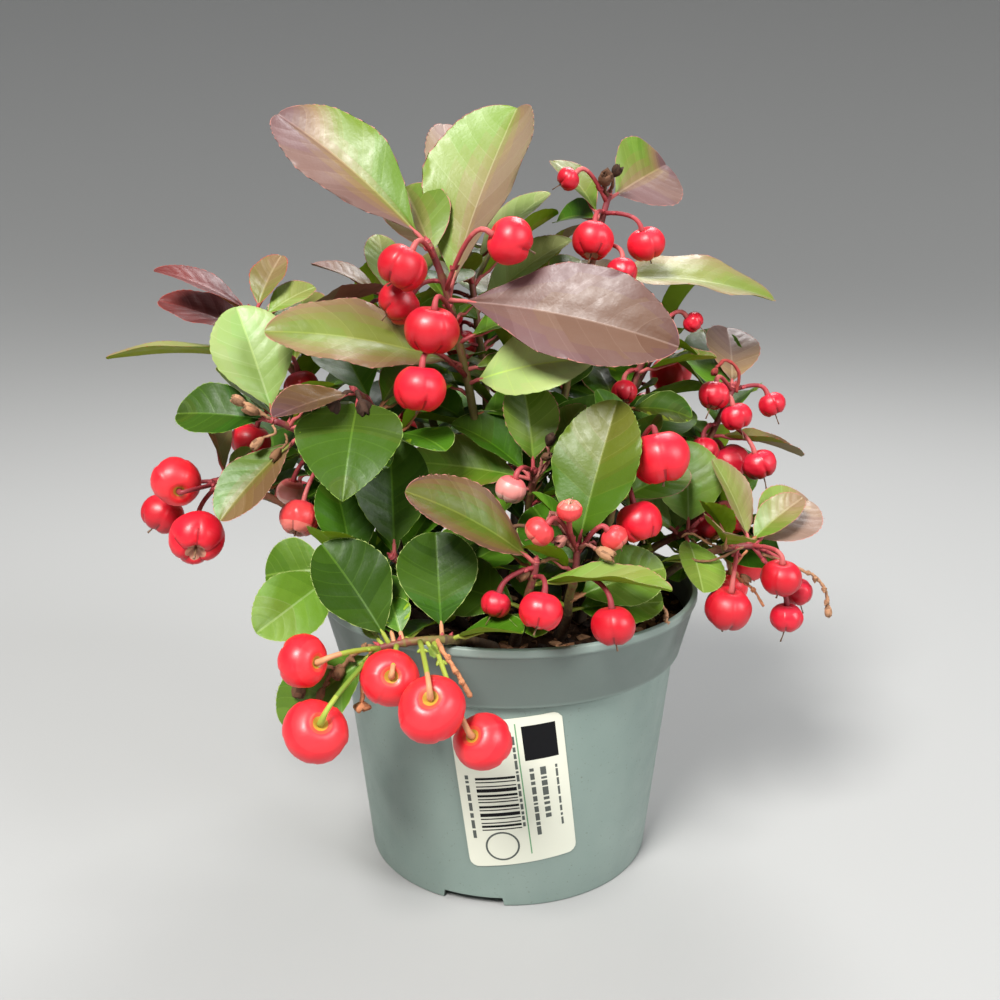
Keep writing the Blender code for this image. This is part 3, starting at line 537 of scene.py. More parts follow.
tree, start, end, keys = group_of("strewn_flakes", {
    "Gap": "Float", "Seed": "Int", "Least": "Float", "Most": "Float", "Flakes": "Collection"})
spots = node(tree, "GeometryNodeDistributePointsOnFaces",
             {"Mesh": start.outputs["Geometry"], "Distance Min": start.outputs["Gap"],
              "Density Max": FLAKE_DENSITY, "Seed": start.outputs["Seed"]}, distribute_method="POISSON")
turn = chance_of(tree, (-0.5, -0.5, 0.0), (0.5, 0.5, 6.28), 3, "FLOAT_VECTOR")
size = chance_of(tree, start.outputs["Least"], start.outputs["Most"], 4, "FLOAT")
which = chance_of(tree, 0, FLAKE_KINDS - 1, 5, "INT")
shapes = node(tree, "GeometryNodeCollectionInfo",
              {"Collection": start.outputs["Flakes"], "Separate Children": True, "Reset Children": True})
laid = node(tree, "GeometryNodeInstanceOnPoints",
            {"Points": spots.outputs["Points"], "Instance": shapes.outputs[0], "Pick Instance": True,
             "Instance Index": which, "Rotation": turn, "Scale": size})
tint = chance_of(tree, 0, len(EARTH) - 1, 6, "INT")
marked = node(tree, "GeometryNodeStoreNamedAttribute",
              {0: laid.outputs[0], "Name": "brown", "Value": tint}, data_type="INT", domain="INSTANCE")
painted_end(tree, marked.outputs[0], "brown", earths, end)
bed = finish_mesh("chips_bed", *turned([(COMPOST_TOP_R - 1.6, COMPOST_Z + 0.4), (0, COMPOST_Z + 0.5)], 48))
group = shelf("flakes", [flake_mesh(i) for i in range(FLAKE_KINDS)])
chips = run_group("bark_flakes", bed, tree, keys, {
    "Gap": FLAKE_GAP * MM, "Seed": FLAKE_SEED, "Least": FLAKE_LEAST, "Most": FLAKE_MOST, "Flakes": group})
clear_shelf(group)
for piece in (compost, chips):
    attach(piece, "root")

# How the plant grows: 28 shoots rise from the compost, each bare below and leafy above. A shoot's
# leaves and berries come from its table and then from the rule, turned on by the golden angle, and
# one that would touch the pot, a stem or what already grows is left out.
GAP = 0.3
STEM_SIDES, UPPER_RUNS = 5, 4
RING_START = Vector((0.35, 1, 0.1))     # a way in which no stem runs, from which a ring is turned
FOOT_STEM_R, CUT_STEM_R, TIP_STEM_R = 1.7, 1.15, 0.85
TOP_JOINT = 0.92
STALK_R, STALK_ROOT = 0.55, 0.2
STALK_LEAST, STALK_SHARE = 2.0, 0.04
LEAF_ROWS = (0.26, 0.66)
LEAF_HALF_THICK, LEAF_DROOP, LEAF_FOLD_DEG = 0.3, 0.45, 14.0
BERRY_SIDES, BERRY_FLAT = 8, 0.87
BERRY_ROWS = ((0.62, 0.76), (0.0, 1.0), (-0.72, 0.68))
GOLDEN_DEG, NEXT_TRY_DEG = 137.5, 47
KEEP_CLEAR, LOW_Z, TRIES = 0.6, 100.0, 4
EXTRA_LEAVES, EXTRA_CLEAR, EXTRA_TRIES, EXTRA_NEAREST = 9, 0.25, 5, 250.0
EXTRA_TRY_DEG, EXTRA_SHORTER, EXTRA_SEEDS, HIDE_DEPTH = 61, 1.5, 100, 38

# leaf:  share up the shoot, azimuth, rise, length, face turned to the front, width to length
# look:  tint at one end and at the other (0 green, 2 olive, 4.5 bronze, 7 purple), where the second
#        tint lies (far and near are halves of the blade, near_tip the near half and the tip), how
#        light it is (partly its own colour, partly painted light and painted shade for how lit the
#        leaf stands among the others), the colour of the edge, and for some how far out it is widest,
#        how blunt, and how wide beside its solid
# berry: share up the shoot, azimuth, reach, height above its joint, diameter
SHOOTS = {
    "over_rim": dict(
        foot=(-4, -34), shoulder=(-12, -56, 84), tip=(-31, -54, 78.5), bare=0.42, more=0, fruit=0,
        leaves=[(0.92, 172, 48, 29, 45, 0.78), (0.55, 105, 62, 26, 15, 0.84),
                (1.0, 198, -44, 30, 50, 0.55)],
        looks=[(0.3, 0.7, "tip", 0.15, "cream", 1.22, 0.50, 0.86),
               (0.2, 0.6, "tip", 0.25, "cream", 1.34, 0.48, 0.89),
               (0.1, 0.5, "tip", 1.3, "cream")],
        berries=[(1.0, 212, 19, 1, 11.8), (1.0, 232, 21, -13, 14.4), (0.88, 264, 8, -5, 13.4),
                 (0.72, 281, 20, -8, 15.0), (0.62, 306, 20, -18, 13.2)]),
    "front_mid": dict(
        foot=(13, -26), shoulder=(15, -42, 84), tip=(16, -42, 99), bare=0.35, more=3, fruit=0,
        leaves=[(0.98, 42, 60, 39, 20, 0.58), (0.52, 0, 12, 25, 48, 0.66),
                (0.40, 350, 0, 24, 35, 0.7)],
        looks=[(0.6, 2.4, "tip", 0.8, "green"), (0.3, 1.0, "tip", 1.2, "cream"),
               (0.2, 0.8, "tip", 1.0, "cream")],
        berries=[(1.0, 219, 12, 7, 6.9), (1.0, 252, 8, 12, 5.8), (0.95, 345, 9, 5, 6.4),
                 (0.80, 298, 17, -8, 10.4)]),
    "front_low": dict(
        foot=(1, -30), shoulder=(4, -46, 84), tip=(6, -46, 97), bare=0.4, more=4, fruit=0,
        leaves=[(1.0, 205, 29, 37, 42, 0.48), (0.78, 339, 4, 34, 0, 0.36),
                (0.50, 165, 4, 25, 45, 0.7)],
        looks=[(2.0, 5.6, "edge", 0.75, "pink"), (0.6, 1.4, "tip", 2.0, "pink"),
               (0.3, 1.0, "tip", 0.8, "cream")],
        berries=[(0.95, 212, 11, -7, 7.0), (0.85, 277, 12, -4, 10.1)]),
    "front_left_inner": dict(
        foot=(-12, -18), shoulder=(-21, -26, 84), tip=(-29, -33, 94), bare=0.35, more=5, fruit=0,
        leaves=[(1.0, 96, 64, 32, 0, 0.6), (0.75, 330, 24, 24, 40, 0.55)],
        looks=[(0.3, 0.8, "tip", 0.25, "green"), (0.2, 0.9, "tip", 0.35, "cream")],
        berries=[]),
    "front_left_low": dict(
        foot=(-21, -19), shoulder=(-34, -28, 86), tip=(-43, -35, 92), bare=0.4, more=3, fruit=0,
        leaves=[(0.95, 234, -28, 28, 45, 0.6), (1.0, 182, -14, 19, 60, 0.88),
                (0.80, 118, 60, 26, 0, 0.62)],
        looks=[(0.1, 0.6, "tip", 1.85, "cream"), (0.2, 0.6, "tip", 1.2, "cream"),
               (0.1, 0.5, "tip", 0.8, "cream")],
        berries=[]),
    "centre": dict(
        foot=(4, -6), shoulder=(5, -12, 103), tip=(6, -24, 114), bare=0.4, more=5, fruit=0,
        leaves=[(1.0, 108, 68, 24, 0, 0.62), (0.88, 18, 50, 24, 15, 0.6),
                (0.90, 188, 2, 32, 45, 0.5), (0.80, 205, -14, 24, 45, 0.62),
                (0.70, 60, 45, 28, 0, 0.55)],
        looks=[(0.4, 1.4, "tip", 1.2, "pink"), (0.6, 1.6, "tip", 1.6, "pink"),
               (0.6, 1.8, "edge", 1.2, "pink"), (0.4, 1.0, "tip", 0.9, "cream"),
               (0.5, 1.2, "tip", 1.0, "pink")],
        berries=[(1.0, 238, 11, -2, 7.6)]),
    "top_front": dict(
        foot=(-6, -10), shoulder=(-7, -11, 140), tip=(-20, -20, 170), bare=0.36, more=3, fruit=0,
        leaves=[(1.0, 172, 34, 52, 55, 0.40), (0.80, 36, 60, 53, 10, 0.60),
                (0.80, 331, -14, 59, 50, 0.46), (0.60, 203, 8, 51, 45, 0.44),
                (0.55, 322, 8, 37, 55, 0.56)],
        looks=[(1.0, 6.6, "near_tip", 1.45, "pink", 1.22, 0.48, 1.08),
               (0.6, 5.4, "near", 2.1, "pink", 1.32, 0.48, 1.07),
               (6.1, 6.9, "edge", 1.15, "pink"), (2.0, 4.8, "edge", 1.35, "pink"),
               # the last leaf is painted lighter than any other: painted light on a leaf lying in the
               # purple leaf's shadow
               (0.3, 1.0, "edge", 3.35, "green")],
        berries=[(0.95, 236, 12, -2, 11.9), (0.86, 195, 11, -5, 10.6), (0.75, 254, 16, -2, 12.8),
                 (0.57, 243, 23, 0, 12.8), (0.83, 331, 18, 12, 11.9)]),
    "top_back": dict(
        foot=(-3, 10), shoulder=(-6, 12, 134), tip=(-12, 18, 172), bare=0.4, more=6, fruit=2,
        leaves=[(1.0, 115, 58, 36, 5, 0.5), (0.88, 8, 40, 31, 20, 0.5), (0.74, 4, 34, 34, 30, 0.5)],
        looks=[(4.6, 6.0, "tip", 2.6, "pink"), (1.0, 1.6, "tip", 2.6, "pink"),
               (0.9, 1.8, "tip", 2.6, "pink")],
        berries=[]),
    "right_top": dict(
        foot=(9, 6), shoulder=(15, 9, 138), tip=(27, 15, 182), bare=0.4, more=4, fruit=0,
        leaves=[(1.0, 40, 12, 32, 58, 0.74), (0.76, 6, -7, 56, 20, 0.44)],
        looks=[(0.8, 6.8, "near_tip", 1.4, "pink"), (1.8, 3.6, "edge", 1.75, "pink")],
        berries=[(0.98, 205, 12, 6, 6.4), (0.95, 250, 11, -7, 11.3), (0.95, 338, 12, -8, 10.0),
                 (0.86, 300, 12, -7, 8.6)]),
    "right_inner": dict(
        foot=(17, 2), shoulder=(25, 4, 112), tip=(40, 8, 146), bare=0.4, more=4, fruit=0,
        leaves=[(0.84, 345, 10, 22, 0, 0.5)],
        looks=[(1.0, 2.0, "tip", 1.0, "pink")],
        berries=[(1.0, 27, 13, 3, 5.8), (0.85, 235, 8, -5, 7.1)]),
    "right_back": dict(
        foot=(27, 9), shoulder=(50, 11, 95), tip=(64, 17, 129), bare=0.5, more=4, fruit=1,
        leaves=[(1.0, 80, 40, 25, 15, 0.66), (0.80, 14, -16, 31, 0, 0.42),
                (0.66, 165, 42, 18, 25, 0.5)],
        looks=[(4.8, 6.6, "tip", 1.6, "pink"), (3.4, 5.2, "tip", 1.0, "red"),
               (2.2, 3.6, "tip", 0.6, "pink")],
        berries=[(1.0, 229, 10, 0, 8.9), (0.95, 275, 9, -3, 8.5), (1.0, 5, 12, -4, 7.8),
                 (0.85, 240, 10, -6, 8.4), (0.88, 320, 13, -12, 9.3)]),
    "right_front": dict(
        foot=(19, -15), shoulder=(24, -20, 98), tip=(30, -24, 116), bare=0.4, more=5, fruit=0,
        leaves=[(0.72, 20, 12, 24, 40, 0.6)],
        looks=[(0.4, 1.4, "tip", 1.2, "pink")],
        berries=[(1.0, 307, 11, 4, 15.0), (0.93, 280, 13, -9, 11.5)]),
    "right_mid": dict(
        foot=(25, -3), shoulder=(36, -7, 90), tip=(48, -13, 95), bare=0.4, more=4, fruit=0,
        leaves=[(1.0, 93, 68, 25, 0, 0.76), (0.70, 125, 56, 27, 15, 0.62),
                (0.95, 280, -34, 21, 20, 0.66)],
        rule_look=(0.4, 1.2, "tip", 2.2, "cream"),
        looks=[(0.1, 0.8, "edge", 1.9, "cream"), (0.2, 0.9, "tip", 1.5, "cream"),
               (0.3, 0.9, "tip", 1.8, "cream")],
        berries=[(1.0, 56, 12, -1, 8.2), (1.0, 12, 14, 3, 8.1)]),
    "right_low": dict(
        foot=(31, -9), shoulder=(47, -14, 92), tip=(64, -19, 93), bare=0.45, more=3, fruit=0,
        leaves=[(1.0, 25, 20, 23, 42, 0.78), (0.97, 145, 58, 25, 0, 0.58),
                (0.84, 230, 42, 22, 0, 0.4)],
        rule_look=(0.9, 4.6, "tip", 1.75, "pink"),
        looks=[(0.9, 5.8, "near_tip", 1.9, "pink"), (2.0, 3.6, "edge", 1.9, "pink"),
               (0.8, 1.6, "tip", 1.7, "red")],
        berries=[(1.0, 305, 10, -6, 10.3), (1.0, 5, 13, -13, 8.0), (1.0, 330, 10, -18, 8.6),
                 (0.88, 250, 12, -13, 12.3)]),
    "left_front": dict(
        foot=(-15, -11), shoulder=(-24, -6, 118), tip=(-38, -27, 135), bare=0.4, more=3, fruit=0,
        leaves=[(0.97, 267, -44, 31, 0, 0.86), (1.0, 228, -12, 25, 15, 0.5)],
        looks=[(0.6, 1.1, "tip", 0.28, "green", 0.84, 0.80, 0.96),
               (5.0, 6.6, "tip", 0.55, "pink")],
        berries=[]),
    "left_mid": dict(
        foot=(-21, -5), shoulder=(-38, -14, 118), tip=(-59, -24, 127), bare=0.4, more=3, fruit=0,
        leaves=[(1.0, 162, 60, 31, 50, 0.66), (1.0, 182, -2, 26, 48, 0.6),
                (0.84, 225, -40, 31, 18, 0.48)],
        looks=[(0.3, 0.9, "edge", 2.4, "cream"), (0.3, 0.8, "tip", 0.12, "green"),
               (0.5, 4.8, "near", 1.1, "pink")],
        berries=[(0.70, 240, 12, -15, 10.3), (0.75, 160, 9, -13, 7.6)]),
    "left_low": dict(
        foot=(-27, -4), shoulder=(-52, -9, 102), tip=(-76, -13, 109), bare=0.4, more=4, fruit=0,
        leaves=[(0.97, 165, 70, 26, 0, 0.5)],
        looks=[(2.6, 4.6, "tip", 2.3, "red")],
        berries=[(1.0, 222, 13, 2, 12.7), (0.97, 186, 17, -8, 11.0), (1.0, 255, 15, -11, 14.0)]),
    "left_back": dict(
        foot=(-19, 6), shoulder=(-44, 3, 112), tip=(-68, 0, 152), bare=0.4, more=4, fruit=1,
        leaves=[(1.0, 195, 24, 28, 20, 0.5), (0.90, 180, 14, 33, 25, 0.46),
                (1.0, 63, 48, 20, 10, 0.5), (0.97, 20, 25, 18, 30, 0.6),
                (0.90, 14, 22, 34, -10, 0.45), (0.82, 192, 4, 47, -6, 0.36)],
        looks=[(7.9, 8.8, "tip", 0.5, "red"), (8.0, 9.0, "tip", 0.4, "red"),
               (2.6, 4.8, "tip", 1.5, "red"), (1.0, 1.8, "tip", 2.0, "pink"),
               (7.2, 8.0, "tip", 1.4, "pink"), (1.6, 3.4, "tip", 2.0, "red")],
        berries=[(0.85, 298, 15, -6, 9.0), (0.70, 198, 17, -10, 10.7)]),
    "left_top": dict(
        foot=(-10, 7), shoulder=(-20, 9, 128), tip=(-34, 12, 155), bare=0.4, more=5, fruit=1,
        leaves=[(1.0, 168, 22, 24, 10, 0.5), (1.0, 100, 50, 22, 10, 0.5)],
        looks=[(5.0, 6.2, "tip", 1.7, "pink"), (0.9, 1.6, "tip", 2.3, "pink")], berries=[]),
    "middle": dict(
        foot=(-2, 1), shoulder=(-3, 3, 108), tip=(1, 6, 138), bare=0.35, more=8, fruit=1),
    "back_left_top": dict(
        foot=(-13, 17), shoulder=(-24, 28, 122), tip=(-42, 38, 146), bare=0.4, more=8, fruit=3),
    "back_top": dict(
        foot=(1, 18), shoulder=(3, 30, 130), tip=(8, 42, 160), bare=0.4, more=8, fruit=3),
    "back_right_top": dict(
        foot=(15, 15), shoulder=(28, 26, 116), tip=(46, 36, 140), bare=0.4, more=8, fruit=3),
    "back_left_low": dict(
        foot=(-23, 15), shoulder=(-46, 28, 98), tip=(-68, 36, 106), bare=0.4, more=7, fruit=3),
    "back_mid_left": dict(
        foot=(-9, 27), shoulder=(-16, 50, 96), tip=(-22, 68, 102), bare=0.4, more=7, fruit=3),
    "back_mid_right": dict(
        foot=(9, 27), shoulder=(16, 48, 100), tip=(22, 68, 108), bare=0.4, more=7, fruit=3),
    "back_right_low": dict(
        foot=(24, 17), shoulder=(44, 34, 92), tip=(62, 44, 98), bare=0.4, more=7, fruit=3),
    "right_side_low": dict(
        foot=(36, 3), shoulder=(54, 6, 86), tip=(64, 14, 88), bare=0.4, more=6, fruit=2),
}


def direction(azimuth, rise):
    """Unit vector from degrees: azimuth 0 is to the right, 270 is towards the viewer."""
    a, r = math.radians(azimuth), math.radians(rise)
    return Vector((math.cos(r) * math.cos(a), math.cos(r) * math.sin(a), math.sin(r)))


def bezier(a, b, c, t):
    """Point at a share t of the curve from a to c that is drawn towards b."""
    return a * (1 - t) ** 2 + b * (2 * t * (1 - t)) + c * t * t


def bezier_way(a, b, c, t):
    """Which way that curve runs there."""
    return ((b - a) * (1 - t) + (c - b) * t).normalized()


def path_of(shoot):
    """Foot, shoulder and tip of a shoot."""
    return Vector((*shoot["foot"], COMPOST_Z + GAP)), Vector(shoot["shoulder"]), Vector(shoot["tip"])


def ring(middle, way, radius, sides, level=False, side=None):
    """Points of a ring round a path, or flat on the ground if it is level."""
    way = UP if level else way
    side = side or way.cross(RING_START).normalized()
    other = way.cross(side)
    angles = (FULL_TURN * k / sides for k in range(sides))
    return [middle + (side * math.cos(a) + other * math.sin(a)) * radius for a in angles]


def tube_faces(rings, sides, closed=False):
    """Outward faces between the rings of a tube, and over both its ends if it is closed."""
    faces = [(a + k, a + (k + 1) % sides, a + sides + (k + 1) % sides, a + sides + k)
             for a in range(0, (rings - 1) * sides, sides) for k in range(sides)]
    ends = [tuple(range(sides - 1, -1, -1)), tuple(range((rings - 1) * sides, rings * sides))]
    return faces + ends if closed else faces


def leaf_frame(joint, azimuth, rise, length, turn, width):
    """Where a leaf's stalk ends, how its blade lies there, and the blade's length and half width."""
    way = direction(azimuth, rise + math.degrees(LEAF_DROOP) / 2)
    level = way.cross(UP)
    level = level.normalized() if level.length > 0.05 else Vector((1, 0, 0))
    if level.dot(Vector((0.2, -1, 0))) < 0:
        level = -level
    face = level.cross(way)
    if face.z < 0:
        face = -face
    t = math.radians(turn)
    face, side = (face * math.cos(t) + level * math.sin(t), level * math.cos(t) - face * math.sin(t))
    stalk = STALK_LEAST + length * STALK_SHARE
    return joint + way * stalk, way, face, side, length - stalk, 0.5 * width * length


def leaf_body(joint, *row, grow=0.0, start=0.0):
    """The plain solid of a leaf and its stalk, made larger by grow, for the test of what it touches."""
    foot, way, face, side, blade, widest = leaf_frame(joint, *row)
    root, bend, fold = joint - way * STALK_ROOT, LEAF_DROOP / blade, math.radians(LEAF_FOLD_DEG)

    def diamond(middle, normal, half, lift, thick):
        """Four points round the middle of one row of the leaf."""
        out = side * half
        return [middle - out + normal * lift, middle - normal * thick,
                middle + out + normal * lift, middle + normal * thick]

    r = STALK_R + grow
    points = diamond(root + (foot - root) * start, face, r, 0, r) + diamond(foot, face, r, 0, r)
    for s in LEAF_ROWS + (1.0,):
        d = blade * s
        middle = foot + way * (math.sin(bend * d) / bend) - face * ((1 - math.cos(bend * d)) / bend)
        normal = face * math.cos(bend * d) + way * math.sin(bend * d)
        half = widest * max(0.0, math.sin(math.pi * s ** 1.1)) ** 0.75 + grow
        if s < 1:
            points += diamond(middle, normal, half * math.cos(fold), half * math.sin(fold),
                              LEAF_HALF_THICK + grow)
    points.append(middle + way * grow)
    faces, rings = [(3, 2, 1, 0)], len(points) // 4
    for i in range(rings):
        for k in range(4):
            a, b = 4 * i + k, 4 * i + (k + 1) % 4
            faces.append((a, b, b + 4, a + 4) if i < rings - 1 else (a, b, len(points) - 1))
    return points, faces


def stalk_end(middle, up, reach, size):
    """Where a berry's stalk meets it, and the point that draws the stalk into an arch."""
    top = middle + up * (0.5 * BERRY_FLAT * size)
    return top, top + (up + Vector((0, 0, 0.6))).normalized() * (0.30 * reach + 1.0)


def berry_frame(joint, azimuth, reach, height, size):
    """The middle, upward axis, top, arch and root of a hanging berry."""
    middle = joint + direction(azimuth, 0) * reach + Vector((0, 0, height))
    up = (Vector((0, 0, 1.6)) + (joint - middle).normalized()).normalized()
    top, arch = stalk_end(middle, up, reach, size)
    return middle, up, top, arch, joint - (arch - joint).normalized() * STALK_ROOT


def berry_body(joint, azimuth, reach, height, size, grow=0.0, start=0.0):
    """The plain solid of a berry and its stalk, made larger by grow."""
    middle, up, top, arch, root = berry_frame(joint, azimuth, reach, height, size)
    across = (arch - root).cross(top - arch).normalized()
    points = []
    for t in (start, 0.3 + 0.5 * start, 0.65 + 0.2 * start, 1):
        points += ring(bezier(root, arch, top, t), bezier_way(root, arch, top, t), STALK_R + grow, 3,
                       side=across)
    faces = [(2, 1, 0)] + tube_faces(4, 3)
    axis = -up
    side = (points[9] - top - axis * (points[9] - top).dot(axis)).normalized()
    other = axis.cross(side)
    if (points[10] - top).dot(other) < 0:
        other = -other
    r, n, first = size / 2 + grow, BERRY_SIDES, len(points)
    for lat, wide in BERRY_ROWS:
        points += [middle + up * (r * BERRY_FLAT * lat) + (side * math.cos(a) + other * math.sin(a))
                   * (r * wide) for a in (FULL_TURN * k / n for k in range(n))]
    points.append(middle - up * (r * BERRY_FLAT))
    low = first + (len(BERRY_ROWS) - 1) * n
    for i in range(n):
        j = (i + 1) % n
        faces += [(9 + i * 3 // n, first + i, first + j), (low + i, len(points) - 1, low + j)]
        faces += [(a + i, a + n + i, a + n + j, a + j) for a in (first, first + n)]
    return points, faces


def tree_of(solid):
    """Search tree of a plain solid, to test what it touches."""
    return BVHTree.FromPolygons([tuple(p) for p in solid[0]], solid[1])


def joint_on(shoot, share):
    """Point of the leafy stem at a share of the path, on the straight runs it is built of."""
    path, cut = path_of(shoot), shoot["bare"]
    run = (share - cut) / (1 - cut) * UPPER_RUNS
    i = min(int(run), UPPER_RUNS - 1)
    ends = [bezier(*path, cut + (1 - cut) * (i + k) / UPPER_RUNS) for k in (0, 1)]
    return ends[0].lerp(ends[1], min(run - i, TOP_JOINT) if i == UPPER_RUNS - 1 else run - i)


def stem_radius(t):
    """Half the thickness of a stem at a share of its path."""
    if t > 0.4:
        return CUT_STEM_R + (TIP_STEM_R - CUT_STEM_R) * (t - 0.4) / 0.6
    return CUT_STEM_R + (FOOT_STEM_R - CUT_STEM_R) * max(0.0, 1 - t / 0.3) ** 1.5


def stem_body(path, runs=8):
    """The plain solid of a whole stem."""
    points = []
    for i in range(runs + 1):
        t = i / runs
        points += ring(bezier(*path, t), bezier_way(*path, t), stem_radius(t), STEM_SIDES, level=t == 0)
    return points, [tuple(range(STEM_SIDES))] + tube_faces(runs + 1, STEM_SIDES)


def rule_leaf(shoot, i, tries, rng):
    """The rule's i-th leaf on a shoot: golden angle round it, rising towards its tip."""
    foot, shoulder, tip = path_of(shoot)
    out = math.degrees(math.atan2(tip.y - foot.y, tip.x - foot.x))
    bare, count = shoot["bare"], shoot["more"]
    shown = bool(shoot.get("leaves"))
    share = bare + 0.10 + (0.90 - bare) * ((i + 0.4) / count if shown else (i + 1) / count)
    share = min(share + rng.uniform(-0.05, 0.05), 1.0)
    azimuth = out + GOLDEN_DEG * i + NEXT_TRY_DEG * tries + rng.uniform(-15, 15)
    height = bezier(foot, shoulder, tip, share).z
    if shown and height > LOW_Z and math.sin(math.radians(azimuth)) < 0:
        azimuth = -azimuth
    rise = 2 + 50 * (share - bare) / (1 - bare) + rng.uniform(-14, 12)
    length = rng.uniform(26, 36) - 5 * max(0.0, share - 0.8) / 0.2 - 2 * tries
    turn = rng.uniform(-20, 20)
    if shown and math.sin(math.radians(azimuth)) < 0.3:
        turn = rng.uniform(15, 45)
    return share, azimuth, rise, length, turn, rng.uniform(0.52, 0.66)


def rule_berry(shoot, rng):
    """One nodding berry of the rule, on the outer side of its shoot."""
    foot, _, tip = path_of(shoot)
    out = math.degrees(math.atan2(tip.y - foot.y, tip.x - foot.x))
    share = rng.uniform(shoot["bare"] + 0.2, 1.0)
    azimuth = out + rng.uniform(-110, 110)
    if shoot.get("leaves") and math.sin(math.radians(azimuth)) < 0:
        azimuth = -azimuth
    return share, azimuth, rng.uniform(10, 14), rng.uniform(-10, -3), rng.uniform(9.5, 13.0)


def cad_tree(name):
    """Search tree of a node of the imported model."""
    mesh = frame["nodes"][name].data
    return tree_of(([v.co / MM for v in mesh.vertices], [tuple(p.vertices) for p in mesh.polygons]))


grown, placed = [], []                  # leaves and berries that grow, and what later ones keep off
fixed = [("pot", None, cad_tree("pot")), ("compost", None, cad_tree("compost"))]
fixed += [("stem", name, tree_of(stem_body(path_of(shoot)))) for name, shoot in SHOOTS.items()]


def place(name, kind, row, look=None, clear=KEEP_CLEAR):
    """Grows one leaf or berry unless it would touch something, and tells whether it grew."""
    joint, body = joint_on(SHOOTS[name], row[0]), leaf_body if kind == "leaf" else berry_body
    whole = tree_of(body(joint, *row[1:], grow=clear))
    away = tree_of(body(joint, *row[1:], grow=clear / 2, start=0.8))
    if any((away if other == name else whole).overlap(tree) for _, other, tree in fixed + placed):
        return False
    placed.append((kind, name, tree_of(body(joint, *row[1:]))))
    grown.append((name, kind, joint, row, look))
    return True


for kind, rows in (("leaf", "leaves"), ("berry", "berries")):
    for name, shoot in SHOOTS.items():
        for i, row in enumerate(shoot.get(rows, [])):
            place(name, kind, row, shoot["looks"][i] if kind == "leaf" else "shown %d" % i)
shown_trees = [tree for _, _, tree in placed]
for seed, (name, shoot) in enumerate(SHOOTS.items()):
    rng = random.Random(seed + 1)
    for i in range(shoot["fruit"]):
        any(place(name, "berry", rule_berry(shoot, rng)) for _ in range(TRIES))
    for i in range(shoot["more"]):
        look = shoot.get("rule_look")
        any(place(name, "leaf", rule_leaf(shoot, i, t, rng), look) for t in range(TRIES))
rule_end = len(grown)

# Smaller leaves fill the crown between those, where they hide nothing of the shoots in front, and
# three tiny ones stand among the berry stalks of the two low shoots on the left.
lens_at = Vector(EYE) / MM
BLADE_PROBES = ((0.0, 0.0), (0.5, 0.0), (0.5, -0.9), (0.5, 0.9), (1.0, 0.0))
BRACTS = [                              # shoot, leaf and look as in the table above
    ("over_rim", (0.96, 150, 30, 8.5, 70, 0.42), (0.6, 1.2, "tip", 1.7, "green")),
    ("over_rim", (0.68, 300, -30, 6.0, 60, 0.40), (0.6, 1.6, "tip", 1.5, "green")),
    ("left_low", (1.0, 350, 40, 12.0, 60, 0.50), (0.4, 1.0, "tip", 1.9, "green"))]


def hides_shown(joint, row):
    """True if a leaf would hide a leaf or berry of the table, or is too near the viewer."""
    foot, way, _, side, blade, widest = leaf_frame(joint, *row)
    if (foot + way * (blade / 2) - lens_at).length < EXTRA_NEAREST:
        return True
    for along, over in BLADE_PROBES:
        p = foot + way * (blade * along) + side * (widest * over)
        sight = (p - lens_at).normalized()
        if any(tree.ray_cast(lens_at, sight, (p - lens_at).length - 0.5)[0] for tree in shown_trees):
            continue
        if any(tree.ray_cast(p + sight * 0.5, sight, HIDE_DEPTH)[0] for tree in shown_trees):
            return True
    return False


for seed, (name, shoot) in enumerate(SHOOTS.items()):
    rng = random.Random(EXTRA_SEEDS + seed)
    for i in range(EXTRA_LEAVES):
        for tries in range(EXTRA_TRIES):
            share = rng.uniform(shoot["bare"] + 0.03, 0.97)
            azimuth = GOLDEN_DEG * i + EXTRA_TRY_DEG * tries + rng.uniform(-20, 20)
            row = (share, azimuth, rng.uniform(-8, 48), rng.uniform(17, 28) - EXTRA_SHORTER * tries,
                   rng.uniform(-25, 35), rng.uniform(0.54, 0.68))
            if hides_shown(joint_on(shoot, share), row[1:]):
                continue
            if place(name, "leaf", row, None, EXTRA_CLEAR):
                break
for name, row, look in BRACTS:
    grown.append((name, "leaf", joint_on(SHOOTS[name], row[0]), row, look))

# Each stem is one woody shoot, brown and ringed at the foot, green-brown higher up and red near its
# soft tip, where a small pointed bud sits. It runs on unbroken through its leaves.
STEM_TURNS, STEM_ROWS, STEM_SEEDS, STEM_SWAY = 12, 54, 300, 0.35
RINGS_APART, RING_SWELL, RING_REACH, BARK_DEPTH = 11.0, 0.22, 0.55, 0.13
BUD_SHARES = ((0.0, 0.55), (0.18, 0.95), (0.3, 1.0), (0.32, 0.86), (0.55, 0.8), (0.58, 0.62), (0.8, 0.4),
              (0.99, 0.08))             # share of its length, share of its radius
BARK_LADDER = [(0.055, 0.034, 0.020), (0.090, 0.055, 0.028), (0.130, 0.090, 0.034), (0.165, 0.135, 0.036),
               (0.180, 0.115, 0.036), (0.190, 0.070, 0.036), (0.185, 0.040, 0.036), (0.190, 0.028, 0.036)]
STALK_COLOURS = {
    "pink": [(0.240, 0.026, 0.034), (0.360, 0.048, 0.055), (0.450, 0.095, 0.090), (0.330, 0.120, 0.045)],
    "leafy": [(0.150, 0.230, 0.022), (0.300, 0.360, 0.045), (0.430, 0.330, 0.070), (0.540, 0.250, 0.120)]}


